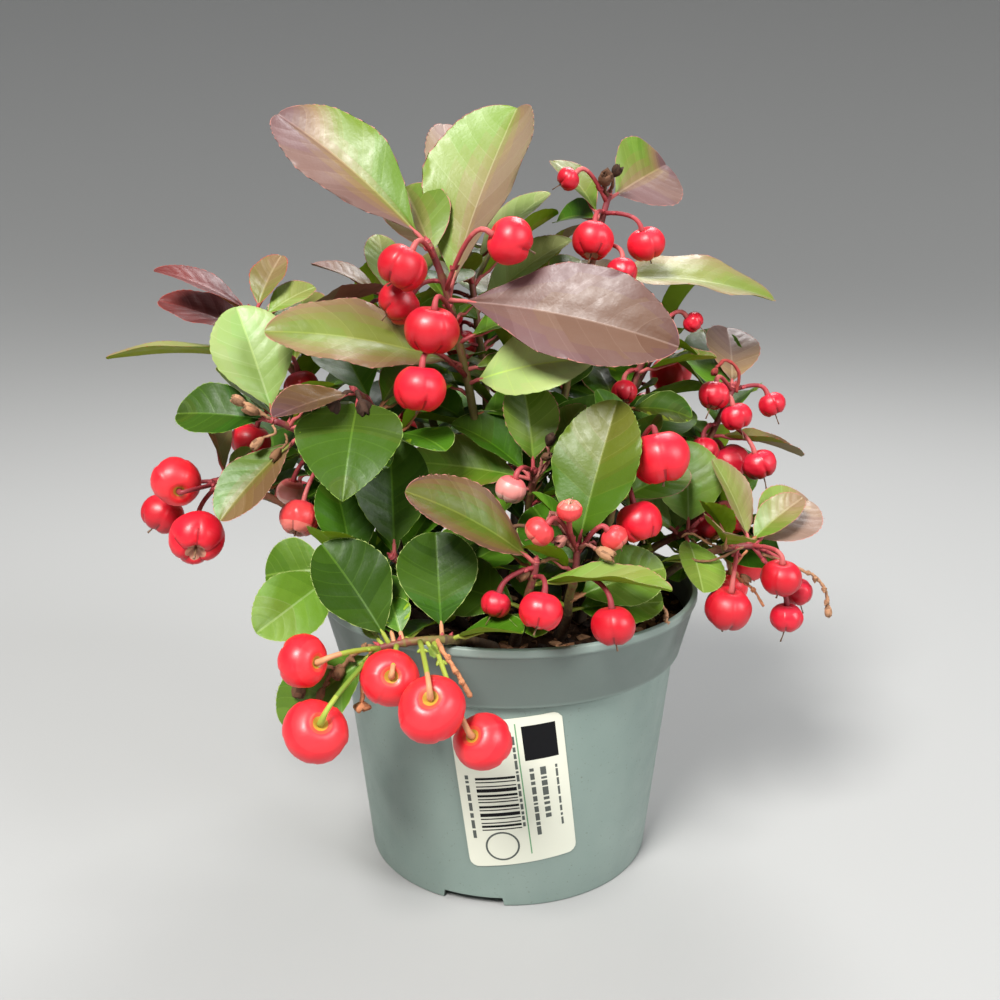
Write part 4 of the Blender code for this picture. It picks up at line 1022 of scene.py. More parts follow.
class Sheets:
    """Gathers points, faces, the plain colour of each face and its corners on a flat pattern."""

    def __init__(self):
        """Starts with nothing gathered."""
        self.points, self.faces, self.colours, self.corners = [], [], [], []

    def add(self, points, faces, colours, corners=None):
        """Takes in one shape."""
        base = len(self.points)
        self.points += [tuple(p) for p in points]
        self.faces += [tuple(base + i for i in face) for face in faces]
        self.colours += list(colours)
        if corners is not None:
            self.corners += corners

    def piece(self, name, mats, slot):
        """One mesh piece of all that was gathered, where mats gives the material of each colour."""
        obj = finish_mesh(name, self.points, self.faces)
        used = sorted(set(self.colours))
        for key in used:
            obj.data.materials.append(mats(key))
        place = {key: i for i, key in enumerate(used)}
        obj.data.polygons.foreach_set("material_index", [place[key] for key in self.colours])
        if self.corners:
            layer = obj.data.uv_layers.new(name="OFBake")
            layer.uv.foreach_set("vector", np.array(self.corners, np.float32).ravel())
        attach(obj, "root")
        return obj


def scatter(rng):
    """A vector with each part between -1 and 1."""
    return Vector((rng.uniform(-1, 1), rng.uniform(-1, 1), rng.uniform(-1, 1)))


def pipe(path, radii, sides):
    """Points and outward faces of a closed tube along a list of points, its rings kept from twisting."""
    ways = [(path[min(i + 1, len(path) - 1)] - path[max(i - 1, 0)]).normalized() for i in range(len(path))]
    side, points = ways[0].cross(RING_START).normalized(), []
    for p, way, r in zip(path, ways, radii):
        side = (side - way * side.dot(way)).normalized()
        points += ring(p, way, r, sides, side=side)
    return points, tube_faces(len(path), sides, closed=True)


@functools.cache
def shade_of(kind):
    """Material of a stem or stalk colour, made once."""
    family, step = kind
    colour = BARK_LADDER[step] if family == "bark" else STALK_COLOURS[family][step]
    mat, nodes, shader = material("%s_%d" % kind, colour, 0.6 if family == "bark" else 0.42, 0.4)
    grain = pattern(nodes, 1100, 4, (1.0, 1.0, 0.35))
    nodes.links.new(spread_of(nodes, grain, 0.45, 0.75), shader.inputs["Roughness"])
    bump(nodes, shader, grain, 0.12, 0.5)
    return mat


def bud(gather, foot, way, length, radius, colours, sides=7):
    """A small pointed bud of overlapping scales."""
    points, faces = pipe([foot + way * (length * s) for s, _ in BUD_SHARES],
                         [radius * w for _, w in BUD_SHARES], sides)
    rows = (min(i // sides, len(BUD_SHARES) - 1) for i in range(len(faces)))
    gather.add(points, faces, [colours[row % len(colours)] for row in rows])


def stem_mesh(path, rng):
    """Points, faces and colours of one stem, ridged and ringed."""
    length = sum((bezier(*path, (k + 1) / 20) - bezier(*path, k / 20)).length for k in range(20))
    rings = length / RINGS_APART
    phase, wobble = rng.uniform(0, 1), [rng.uniform(*ANY_ANGLE) for _ in range(4)]
    points, colours = [], []
    for i in range(STEM_ROWS + 1):
        t = i / STEM_ROWS
        sway = Vector((math.sin(t * 11 + wobble[0]), math.sin(t * 9 + wobble[1]), 0))
        middle = bezier(*path, t)
        middle += sway * (STEM_SWAY * math.sin(math.pi * t))
        at_ring = abs((t * rings + phase) % 1 - 0.5) * length / rings
        swell = RING_SWELL * math.exp(-(at_ring / RING_REACH) ** 2)
        for k, p in enumerate(ring(middle, bezier_way(*path, t), 1, STEM_TURNS, level=t == 0)):
            ridge = math.sin(3 * (FULL_TURN * k / STEM_TURNS) + 5 * t + wobble[2]) * 0.5
            ridge += rng.uniform(-0.5, 0.5)
            radius = stem_radius(t) * (1 + BARK_DEPTH * (1 - 0.6 * t) * ridge) + swell
            points.append(middle + (p - middle) * radius)
        # Stem parts lower than 88 mm are painted darker: painted shade low in the crown.
        ringed, shaded = 1.3 if swell > 0.1 else 0, 0.8 if middle.z < 88 else 0
        for _ in range(STEM_TURNS if i < STEM_ROWS else 0):
            tone = t * 7.4 + rng.uniform(-0.6, 0.6) - ringed - shaded
            colours.append(("bark", int(min(len(BARK_LADDER) - 1, max(0, tone)))))
    faces = tube_faces(STEM_ROWS + 1, STEM_TURNS, closed=True)
    return points, faces, colours + [("bark", 0), ("bark", 6)]


stems = Sheets()
for number, (name, shoot) in enumerate(SHOOTS.items()):
    rng = random.Random(STEM_SEEDS + number)
    path = path_of(shoot)
    stems.add(*stem_mesh(path, rng))
    way = bezier_way(*path, 1)
    scales = [("pink", 0), ("pink", 2), ("pink", 1)]
    bud(stems, path[2] - way * 0.3, way, rng.uniform(2.2, 3.4), 0.95, scales)
limbs = stems.piece("stems", shade_of, "stem_bark")
for name in SHOOTS:
    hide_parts("stem_" + name)

# Leaf stalks and berry stalks are soft and round: pink or red high up, yellow-green low down and on
# the shoot that hangs over the rim. A leaf stalk runs on under its blade as the midrib.
STALK_SIDES, STALK_SEEDS, RIB_SHARE, RIB_DOWN = 7, 700, 0.42, 0.48
LEAF_STALK_R, BERRY_STALK_R = [0.78, 0.56, 0.52], [0.74] + [0.60] * 6 + [0.64, 0.70, 0.8, 0.8]
BUD_SHARE, LEAFY_BELOW_Z = 0.6, 92
STALK_ENDS = {                          # which way the stalk's end of a shown berry points
    "over_rim": [(0.8, -0.55, 0.15), (0.35, -0.65, 0.65), (0.15, -0.85, 0.45), (0, -0.65, 0.75),
                 (-0.45, -0.65, 0.6)],
    "left_low": [(0.35, -0.8, -0.3), (0.5, 0.2, 0.8), (-0.15, 0.85, 0.5)],
    "top_front": [(0.5, 0.1, 0.85), (0.8, 0.2, 0.6), (0.15, -0.1, 1), (0.1, 0.1, 1), (-0.85, -0.2, 0.35)],
    "right_top": [(0.8, 0, 0.6), (0.1, 0.35, 0.9), (-0.35, -0.2, 0.9), (0.1, 0.4, 0.9)],
    "right_inner": [(-0.75, 0, 0.6), (0, 0.5, 0.85)],
    "right_low": [(0, -0.1, 1), (-0.2, 0, 1), (0, 0.1, 1), (0.1, -0.1, 1)],
    "front_low": [(0.3, 0.2, 0.9), (0.2, 0.4, 0.85)],
    "front_mid": [(0.6, 0, 0.6), (0, 0.2, -1), (-0.6, 0, 0.7), (-0.1, 0.2, 1)],
    "right_front": [(-0.2, 0.2, 0.95), (-0.3, 0.3, 0.9)], "centre": [(0.35, 0, 0.9)]}


def leaf_stalk(family, joint, row, rng):
    """Adds a leaf's stalk with its midrib and, on most, the bud above it."""
    foot, way, face, _, blade, _ = leaf_frame(joint, *row[1:])
    line = [joint - way * STALK_ROOT, joint.lerp(foot, 0.5) - face * 0.12, foot]
    radii, bend = list(LEAF_STALK_R), LEAF_DROOP / blade
    for k in range(1, 5):
        d = blade * RIB_SHARE * k / 4
        radii.append(0.5 - 0.1 * k)
        line.append(foot + way * (math.sin(bend * d) / bend)
                    - face * ((1 - math.cos(bend * d)) / bend + RIB_DOWN + radii[-1]))
    points, faces = pipe(line, radii, STALK_SIDES)
    tone = rng.choice((1, 2, 2, 3) if family == "pink" else (1, 1, 3))
    stalks.add(points, faces, [(family, tone)] * len(faces))
    if rng.random() < BUD_SHARE:
        bud(stalks, joint + Vector((0, 0, 0.5)), (way + Vector((0, 0, 1.2))).normalized(),
            rng.uniform(1.3, 2.2), 0.6, [("pink", 0), ("pink", 1)], 6)


def berry_stalk(family, name, joint, row, look, rng):
    """Adds a berry's stalk with its two tiny scales, and notes where the berry hangs."""
    middle, up, _, _, root = berry_frame(joint, *row[1:])
    _, _, reach, _, size = row
    if look and name in STALK_ENDS:
        up = Vector(STALK_ENDS[name][int(look.split()[1])])
    else:
        up = up + Vector((rng.uniform(-0.3, 0.3), rng.uniform(-0.5, 0.5), 0))
    up.normalize()
    (top, arch), end = stalk_end(middle, up, reach, size), middle + up * (0.33 * size)
    line = [bezier(root, arch, top, k / 9) for k in range(9)] + [top + (end - top) * 0.3, end]
    sides = STALK_SIDES + 1
    points, faces = pipe(line, BERRY_STALK_R, sides)
    if family == "leafy":
        first, last = (1, 3) if rng.random() < 0.5 else (0, 1)
    else:
        first, last = rng.choice(((0, 1), (1, 2), (0, 0)))
    stalks.add(points, faces, [(family, first if i // sides < 5 else last) for i in range(len(faces))])
    scale, at = 0.55 + 0.08 * rng.random(), bezier(root, arch, top, 0.16)
    for sign in (-1, 1):
        out = (at - joint).cross(UP).normalized() * sign
        bud(stalks, at + out * 0.35, ((at - joint).normalized() + out * 0.7).normalized(), 1.7, scale,
            [(family, 0), (family, 1)], 6)
    berry_spots.append((name, look, middle, up, size, rng.uniform(*ANY_ANGLE), rng.random(), family))


stalks, berry_spots = Sheets(), []
for number, (name, kind, joint, row, look) in enumerate(grown):
    rng = random.Random(STALK_SEEDS + number)
    family = "leafy" if name == "over_rim" or joint.z < LEAFY_BELOW_Z else "pink"
    if kind == "leaf":
        leaf_stalk(family, joint, row, rng)
    else:
        berry_stalk(family, name, joint, row, look, rng)
stalks.piece("stalks", shade_of, "stem_bark")

# Leaves are thick leathery blades, glossy above and paler and duller below, folded along the midrib,
# with sunk side veins, a finely toothed pale edge and a droop to the tip. Low ones are deep green;
# those that stood in the light are bronze or purple, often on one half or towards the tip only.
TINTS = (0.0, 2.0, 4.5, 7.0, 9.0)       # green, olive, bronze, dull purple, maroon
TINT_LADDER = [                         # from dark to light, each row with a colour of every tint
    [(.018, .058, .004), (.040, .055, .006), (.070, .040, .012), (.050, .020, .020), (.085, .014, .012)],
    [(.050, .140, .005), (.100, .125, .012), (.145, .082, .028), (.100, .045, .045), (.170, .030, .026)],
    [(.140, .265, .024), (.200, .220, .048), (.250, .165, .085), (.195, .118, .112), (.280, .078, .064)],
    [(.290, .415, .150), (.345, .370, .160), (.385, .300, .200), (.320, .232, .218), (.410, .190, .165)],
    # The lightest row is painted light, which lifts a leaf that lies in shade; the palest midribs reach it
    # too.
    [(.410, .590, .110), (.450, .500, .140), (.470, .390, .250), (.430, .330, .310), (.500, .260, .230)]]
EDGE_COLOURS = {"pink": (.400, .160, .130), "cream": (.290, .360, .110), "red": (.42, .060, .035),
                "green": (.170, .260, .050)}
UNDER_TINTS = [(.185, .300, .010), (.230, .285, .022), (.260, .215, .105), (.280, .160, .110),
               (.320, .110, .085)]
TINT_STEPS, LIGHT_STEPS, BLADE_SEEDS, TINT_SEEDS = 2, 5, 2000, 3000
BLADES = {                              # pairs of side veins, rows between them, columns of a half
    "shown": (6, 3, (0.2, 0.4, 0.6, 0.8, 0.97)), "rule": (5, 2, (0.3, 0.62, 0.97)),
    "extra": (4, 1, (0.45, 0.97))}
RIB_C, BLADE_THICK, QUILT, TOOTH, USUAL_BLADE, LOW_LEAF_Z = 0.05, 0.36, 0.13, 0.31, 34, 108
EDGE_WIDE, BRISTLE_SHARE, BRISTLE_R, VEINS_FORWARD, VEIN_HALF_W = 0.22, 0.6, [0.08, 0.015], 0.24, 0.14
TINT_SLOPE, TINT_DRIFT, CELL_MARGIN, LEAF_SHARP_DEG = 0.8, 0.13, 0.03, 65
REGIONS = {"top": "leaves_top", "centre": "leaves_top", "middle": "leaves_top", "left": "leaves_left",
           "right": "leaves_right", "front": "leaves_front", "over": "leaves_front", "back": "leaves_back"}


def tint_colour(tint, level):
    """Colour between the ladder's rungs: how far it has turned, and how light it is."""
    i = min(int(np.searchsorted(TINTS, tint, side="right")) - 1, len(TINTS) - 2)
    f = (tint - TINTS[i]) / (TINTS[i + 1] - TINTS[i])
    k = min(int(level), len(TINT_LADDER) - 2)
    mix = [Vector(TINT_LADDER[j][i]).lerp(Vector(TINT_LADDER[j][i + 1]), f) for j in (k, k + 1)]
    return tuple(mix[0].lerp(mix[1], level - k))


@functools.cache
def leaf_material(key):
    """Glossy upper side, dull under side or pale edge, with a fine net of veins, made once a colour."""
    kind, a, b = key
    if kind == "upper":
        colour = tint_colour(a / TINT_STEPS, b / LIGHT_STEPS)
        specular, gloss = min(0.38, 0.14 + 0.03 * b), (0.34, 0.47)
    else:
        colour = EDGE_COLOURS[list(EDGE_COLOURS)[a]] if kind == "edge" else UNDER_TINTS[a]
        specular, gloss = 0.15, (0.55, 0.75)
    mat, nodes, shader = material("leaf_%s_%d_%d" % key, colour, 0.36, specular)
    nodes.links.new(spread_of(nodes, pattern(nodes, 420, 3), *gloss), shader.inputs["Roughness"])
    fine = bump(nodes, shader, pattern(nodes, 1100, 3), 0.08, 0.7)
    net = pattern(nodes, 480, 3)
    net.node.noise_type = "RIDGED_MULTIFRACTAL"
    net.node.inputs["Distortion"].default_value = 0.6
    bump(nodes, shader, spread_of(nodes, net, 1, 0, 0.5, 1.6), 0.14, 0.7, fine)
    return mat


def blade_plan(pairs, between, columns):
    """Rows (share, is a vein, rise between veins, tooth) and columns of a blade, with its faces."""
    rows = [(0.0, False, 0.0, 0.0)]
    marks = [0.0] + [0.07 + 0.80 * (k + 0.5) / pairs for k in range(pairs)] + [1.0]
    for k, (a, b) in enumerate(zip(marks, marks[1:])):
        for j in range(1, between + 1):
            s = j / (between + 1)
            toothed = 1.0 if j % 2 and k < pairs else 0.0
            rows.append((a + (b - a) * s, False, math.sin(math.pi * s), toothed))
        if k < pairs:
            rows += [(b, True, 0.0, 0.0), (b, False, 0.0, 0.0)]
    rows += [(0.992, False, 0.0, 0.0), (1.0, False, 0.0, 0.0)]
    cols = [-1.0] + [-c for c in reversed(columns)] + [-RIB_C, RIB_C] + list(columns) + [1.0]
    n, m = len(rows), len(cols)
    index, count = np.zeros((2, n, m), int), 2
    for layer in (0, 1):
        for r in range(n):
            for c in range(m):
                if r in (0, n - 1):
                    index[layer, r, c] = 0 if r == 0 else 1
                elif layer == 1 and c in (0, m - 1):
                    index[1, r, c] = index[0, r, c]
                else:
                    index[layer, r, c] = count
                    count += 1
    faces, cells = [], []
    for layer in (0, 1):
        for r in range(n - 1):
            for c in range(m - 1):
                quad = [(r, c), (r, c + 1), (r + 1, c + 1), (r + 1, c)]
                if r == 0:
                    quad = quad[1:]
                if r == n - 2:
                    quad = quad[:3]
                quad = quad if layer == 0 else quad[::-1]
                faces.append([(layer, *rc) for rc in quad])
                cells.append((layer, r, c))
    share, is_vein, rise, tooth = (np.array(values) for values in zip(*rows))
    return dict(share=share, is_vein=is_vein, rise=rise, tooth=tooth, cols=np.array(cols), index=index,
                count=count, faces=faces, cells=np.array(cells))


def look_by_rule(joint, rng):
    """Tint of a leaf that has none in the table: the higher it grows the more it may have turned."""
    high = min(1.0, max(0.0, (joint.z - 78) / 105))
    turned_by = 7 * max(0.0, high - 0.25) * rng.uniform(0.0, 1.35)
    where = rng.choice(("tip", "edge", "near", "far"))
    edge = "pink" if turned_by > 1.6 else rng.choice(("cream", "green", "green"))
    # Leaves high up are made lighter: painted light on the top of the crown.
    return (turned_by * 0.35, min(7.0, turned_by * 1.3), where, rng.uniform(0.2, 1.1) + 0.5 * high, edge)


def blade_sides(plan, item, axes, sort, rng):
    """Upper and under points of a blade, row by row and column by column."""
    _, _, joint, row, look = item
    foot, way, face, side = axes
    blade, widest = leaf_frame(joint, *row[1:])[4:]
    low, calm = joint.z < LOW_LEAF_Z, 0.5 if sort == "shown" else 1.0
    power = 1.14 + rng.uniform(-0.1, 0.18)
    at_foot, at_tip = (0.74, 0.52) if low else (0.90, 0.54)
    blunt = rng.uniform(-0.04, 0.06)
    if look and len(look) > 5:
        power, at_tip, widest = look[5], look[6], widest * look[7]
    fold = math.tan(math.radians(LEAF_FOLD_DEG + rng.uniform(-5, 7) * calm))
    cup, wave, turns = rng.uniform(-0.45, 0.6), rng.uniform(0.15, 0.55), rng.uniform(1.6, 3.0)
    phase, twist = (rng.uniform(*ANY_ANGLE), rng.uniform(*ANY_ANGLE)), rng.uniform(-0.25, 0.25) * calm
    sway = rng.uniform(-0.05, 0.05) * calm
    nod = rng.uniform(-0.02, 0.09) - (0.06 if sort == "shown" else 0)
    size = blade / USUAL_BLADE

    # Shares along the blade, which run forward to the edge as the side veins do.
    c, out = plan["cols"][None, :], np.abs(plan["cols"])[None, :]
    u = plan["share"].copy()
    veins = np.flatnonzero(plan["is_vein"])
    u[veins] -= VEIN_HALF_W / blade
    u[veins + 1] += VEIN_HALF_W / blade
    u = u[:, None]
    s = np.clip(u + VEINS_FORWARD * np.sin(np.pi * u) * out ** 1.15, 0, 1)

    # How far out each column lies: the rib, the blade between, and the toothed edge.
    half = widest * np.maximum(0, np.sin(np.pi * s ** power)) ** (at_foot + (at_tip - at_foot) * s + blunt)
    half_edge = half - plan["tooth"][:, None] * (out >= 1) * TOOTH * size * (half > 1)
    rib = np.minimum(0.25, 0.3 * half)
    inner = np.maximum(rib, half_edge - EDGE_WIDE)
    reach = np.where(out <= RIB_C, rib, rib + (inner - rib) * (out - RIB_C) / (0.97 - RIB_C))
    reach = np.where(out >= 1, half_edge, reach)
    across = np.sign(c) * np.maximum(reach, 0)

    # How high it stands there: the fold, waves, and the swelling between the veins.
    lift = np.abs(across) * fold * (1 + cup * (out - 0.5))
    waves = np.sin(FULL_TURN * turns * s + np.where(c > 0, phase[0], phase[1]))
    lift = lift + wave * size * out ** 2 * waves * np.sin(np.pi * s)
    quilt = QUILT * min(1, size) * plan["rise"][:, None] * np.minimum(1, out * 3) * (1 - c ** 4)
    thick = max(BLADE_THICK * size, blade / 90) * (1 - out ** 3) * np.minimum(1, 6 * np.minimum(s, 1 - s))
    in_rib = out <= RIB_C

    # The blade droops along its length, sways to one side and twists.
    bend, d = LEAF_DROOP / blade, blade * s
    mid_way, mid_face = np.sin(bend * d) / bend, -(1 - np.cos(bend * d)) / bend - nod * blade * s ** 3
    normal = face * np.cos(bend * d)[..., None] + way * np.sin(bend * d)[..., None]
    lean = (twist * s)[..., None]
    side_at = side * np.cos(lean) + normal * np.sin(lean)
    normal = normal * np.cos(lean) - side * np.sin(lean)
    base = (foot + way * mid_way[..., None] + face * mid_face[..., None]
            + side * (sway * blade * s ** 2)[..., None] + side_at * across[..., None])
    top = base + normal * (lift + quilt - np.where(in_rib, 0.16 * size, 0.0))[..., None]
    return top, top - normal * (thick + np.where(in_rib, 0.25 * size, 0.0))[..., None]


def blade_colours(plan, look, low, number):
    """The plain colour of each face of a blade, by where it lies."""
    first, second, where, level, edge = look[:5]
    layer, r, k = plan["cells"].T
    share, cols = plan["share"], plan["cols"]
    u = (share[r] + share[r + 1]) / 2
    c = (cols[k] + cols[k + 1]) / 2
    noise = np.random.default_rng(TINT_SEEDS + number)
    bands, turn_bands = (np.sin(noise.uniform(3, 8) * u + noise.uniform(*ANY_ANGLE)) for _ in (0, 1))
    over = c * TINT_SLOPE + TINT_DRIFT * np.sin(noise.uniform(2.5, 6) * u + noise.uniform(*ANY_ANGLE))
    ramp = {"tip": u, "edge": np.abs(c) ** 1.5, "near": 0.5 + over, "far": 0.5 - over,
            "near_tip": np.maximum(0.5 + over, (u - 0.44) * 1.9)}[where]
    ramp = np.clip((ramp - 0.15) / 0.7, 0, 1)
    tint = first + (second - first) * ramp + turn_bands * (0.35 if max(first, second) > 1 else 0.15)
    on_vein = plan["is_vein"][r] & (np.abs(c) < 0.95)
    light = level + 0.17 * bands
    light = light + np.where(np.abs(c) < RIB_C, 0.6, np.where(on_vein, 0.16 if low else 0.22, 0.0))
    tint = np.clip(np.rint(tint * TINT_STEPS), 0, (9 if second > 7 else 7) * TINT_STEPS).astype(int)
    light = np.clip(np.rint(light * LIGHT_STEPS), 0, (len(TINT_LADDER) - 1) * LIGHT_STEPS).astype(int)
    edge_key = ("edge", list(EDGE_COLOURS).index(edge), 0)
    colours = []
    for lay, col, a, b in zip(layer, k, tint, light):
        if lay:
            colours.append(("under", int(min(4, a // (2 * TINT_STEPS))), 0))
        else:
            colours.append(edge_key if col in (0, len(cols) - 2) else ("upper", int(a), int(b)))
    return colours, edge_key


def flat_corners(plan, order, cell):
    """Where each corner of each face lies on the flat pattern, in the blade's own two cells."""
    spots, wide, high = cell[:2], cell[2], cell[3]
    last_row, last_col, spread = len(plan["share"]) - 1, len(plan["cols"]) - 1, 1 - 2 * CELL_MARGIN
    corners = []
    for face in order:
        for layer, r, c in face:
            c = c if 0 < r < last_row else last_col / 2
            a, b = spots[layer]
            corners.append((a + (CELL_MARGIN + spread * c / last_col) * wide,
                            b + (CELL_MARGIN + spread * r / last_row) * high))
    return corners


def grow_blade(gather, item, sort, number, cell):
    """Adds one leaf to its piece, with its colours, its cells on the flat pattern and its bristles."""
    _, _, joint, row, look = item
    rng, plan = random.Random(BLADE_SEEDS + number), plans[sort]
    foot, way, face, side = axes = [np.array(v) for v in leaf_frame(joint, *row[1:])[:4]]
    top, under = blade_sides(plan, item, axes, sort, rng)
    index, cols = plan["index"], plan["cols"]
    points = np.zeros((plan["count"], 3))
    points[index[1]], points[index[0]] = under, top
    points[0], points[1] = foot, top[-1, len(cols) // 2]
    outward = np.dot(np.cross(side, way), face) > 0
    order = plan["faces"] if outward else [f[::-1] for f in plan["faces"]]
    colours, edge_key = blade_colours(plan, look or look_by_rule(joint, rng), joint.z < LOW_LEAF_Z, number)
    gather.add(points, [[index[corner] for corner in f] for f in order], colours,
               flat_corners(plan, order, cell))
    if sort == "extra":
        return
    for r in np.flatnonzero(plan["tooth"]):
        for col, out in ((0, -1), (len(cols) - 1, 1)):
            if rng.random() < BRISTLE_SHARE:
                root = Vector(top[r, col])
                aim = Vector(side * out + way * 0.9 + face * rng.uniform(-0.3, 0.3)).normalized()
                line = [root - aim * 0.15, root + aim * rng.uniform(0.35, 0.75)]
                hair, shape = pipe(line, BRISTLE_R, 3)
                gather.add(hair, shape, [edge_key] * len(shape), [cell[0]] * sum(len(f) for f in shape))


plans, sorted_leaves = {sort: blade_plan(*numbers) for sort, numbers in BLADES.items()}, {}
for number, item in enumerate(grown):
    if item[1] == "leaf":
        sort = "shown" if item[4] else "rule" if number < rule_end else "extra"
        sorted_leaves.setdefault(REGIONS[item[0].split("_")[0]], []).append((item, sort, number))
for piece, items in sorted_leaves.items():
    gather = Sheets()
    per_row = math.ceil(math.sqrt(2 * len(items) * 0.6))
    rows_needed = math.ceil(2 * len(items) / per_row)
    for i, (item, sort, number) in enumerate(items):
        spots = [((2 * i + j) % per_row / per_row, (2 * i + j) // per_row / rows_needed) for j in (0, 1)]
        grow_blade(gather, item, sort, number, (*spots, 1 / per_row, 1 / rows_needed))
    obj = gather.piece(piece, leaf_material, "leaf_green")
    obj.data.set_sharp_from_angle(angle=math.radians(LEAF_SHARP_DEG))
    for name in SHOOTS:
        if piece == REGIONS[name.split("_")[0]]:
            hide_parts("leaves_" + name)

# Berries are fleshy and shiny: a dimple at the stalk, five lobes that close round a star at the
# lower end, and the dry thread of the flower standing out of it. Nodes set one shape on each stalk.
BERRY_ROWS_SEEN, LOBES, LOBE_COLS = 22, 5, (0.0, 0.05, 0.14, 0.3, 0.5, 0.7, 0.86, 0.95)
ZONE_ENDS, STAR_FROM, GROOVE_FROM = (0.07, 0.13, 0.36, 0.66, 1.0), 0.92, 0.70
STAR_ZONE, THREAD_ZONE, GROOVE_ZONE = 5, 6, 7
BERRY_SKINS = {                         # five colours of each, from the stalk down
    "ripe": [(.60, .06, .05), (.68, .02, .036), (.72, .012, .032), (.7, .008, .024), (.66, .006, .02)],
    "deep": [(.44, .034, .034), (.5, .012, .024), (.54, .008, .022), (.5, .005, .015), (.46, .004, .013)],
    "ringed": [(.46, .27, .032), (.74, .062, .036), (.78, .024, .034), (.74, .012, .024), (.7, .008, .019)],
    "pale": [(.6, .12, .09), (.68, .075, .09), (.7, .15, .15), (.73, .26, .23), (.75, .42, .34)],
    "turning": [(.5, .12, .05), (.62, .044, .052), (.64, .038, .048), (.64, .042, .044), (.68, .15, .12)],
    "small": [(.5, .034, .04), (.56, .016, .036), (.6, .012, .036), (.56, .007, .024), (.51, .005, .018)]}
# Grooves, and a deep berry's star, take a darker copy of the lowest skin colour: painted shade in the
# creases.
BERRY_STAR, BERRY_THREAD, GROOVE_PAINTED_SHADE = (.55, .24, .16), (.20, .11, .06), 0.6
BERRY_KINDS, BERRY_SEEDS, WRINKLED = 2, 60, ("small", "turning")
PALE_BERRIES = (("centre", "shown 0"), ("left_mid", "shown 1"))


def berry_shape(name, lobe, thread, seed, crumple):
    """One berry a unit wide, stalk end up, with an attribute for which colour a face has."""
    rng = random.Random(seed)
    points, zones, faces = [], [], []
    phis = [FULL_TURN * (k + f) / LOBES for k in range(LOBES) for f in LOBE_COLS]
    wides = [1 + rng.uniform(-0.03, 0.03) for _ in range(LOBES)]
    n, per_lobe, rows = len(phis), len(LOBE_COLS), BERRY_ROWS_SEEN - 1
    for i in range(1, rows + 1):
        theta = math.pi * (i / BERRY_ROWS_SEEN) ** 1.15
        low = max(0.0, min(1.0, (theta / math.pi - 0.46) / 0.38))
        low = low * low * (3 - 2 * low)
        for j, phi in enumerate(phis):
            f = LOBE_COLS[j % per_lobe]
            groove = math.exp(-(min(f, 1 - f) / 0.08) ** 2)
            bulge = 0.5 - 0.5 * math.cos(FULL_TURN * f)
            r = 0.5 * math.sin(theta) ** 0.9 * (1 + lobe * low * (0.05 * bulge - 0.17 * groove))
            r *= wides[j // per_lobe]
            uneven = 0.02 * math.sin(3 * phi + 2 * seed) * math.sin(theta * 2)
            r *= 1 + 0.035 * math.sin(2 * phi + seed) + uneven
            r *= 1 + crumple * math.sin(9 * phi + 2 * math.sin(2 * theta + seed)) * math.sin(theta) ** 2
            z = 0.5 * BERRY_FLAT * math.cos(theta)
            z -= 0.105 * math.exp(-(math.sin(theta) / 0.25) ** 2) * (theta < 1.5)
            if theta > 1.5:
                z += ((0.20 - 0.07 * bulge) * math.exp(-(math.sin(theta) / 0.30) ** 4)
                      - 0.02 * lobe * low * bulge)
            points.append((r * math.cos(phi), r * math.sin(phi), z))
    for i in range(rows - 1):
        share = (i + 1.5) / BERRY_ROWS_SEEN
        zone = next(k for k, end in enumerate(ZONE_ENDS) if share < end)
        for j in range(n):
            a, b = i * n + j, i * n + (j + 1) % n
            faces.append((a, a + n, b + n, b))
            in_groove = share > GROOVE_FROM and LOBE_COLS[j % per_lobe] in (LOBE_COLS[0], LOBE_COLS[-1])
            zones.append(STAR_ZONE if share > STAR_FROM else GROOVE_ZONE if in_groove else zone)
    top, bottom, last = len(points), len(points) + 1, (rows - 1) * n
    points += [(0, 0, 0.5 * BERRY_FLAT - 0.11), (0, 0, -0.5 * BERRY_FLAT + 0.20)]
    for j in range(n):
        faces += [(top, j, (j + 1) % n), (bottom, last + (j + 1) % n, last + j)]
        zones += [0, STAR_ZONE]
    bend = rng.uniform(-0.1, 0.1)
    line = [Vector((bend * t * t, bend * t, -0.5 * BERRY_FLAT + 0.22 - t * (0.22 + thread)))
            for t in (0, 0.35, 0.7, 1)]
    more, rods = pipe(line, [0.034, 0.026, 0.018, 0.026], 6)
    faces += [tuple(len(points) + i for i in face) for face in rods]
    points += more
    zones += [THREAD_ZONE] * len(rods)
    obj = finish_mesh(name, np.array([tuple(p) for p in points]) * (1 / MM), faces)
    obj.data.attributes.new("zone", "INT", "FACE").data.foreach_set("value", zones)
    return obj


def skin_of(name, look, size, family, chance):
    """Which skin a berry has: pale, ringed or half ripe on a few stalks, wrinkled if it is small."""
    if (name, look) in PALE_BERRIES:
        return "pale"
    if family == "leafy" or (name, look) == ("left_low", "shown 0"):
        return "ringed"
    if (name, look) == ("left_mid", "shown 0") or (name == "front_mid" and size < 9):
        return "turning"
    if size < 9.5 or name == "right_back":
        return "small"
    return "deep" if chance < 0.3 else "ripe"


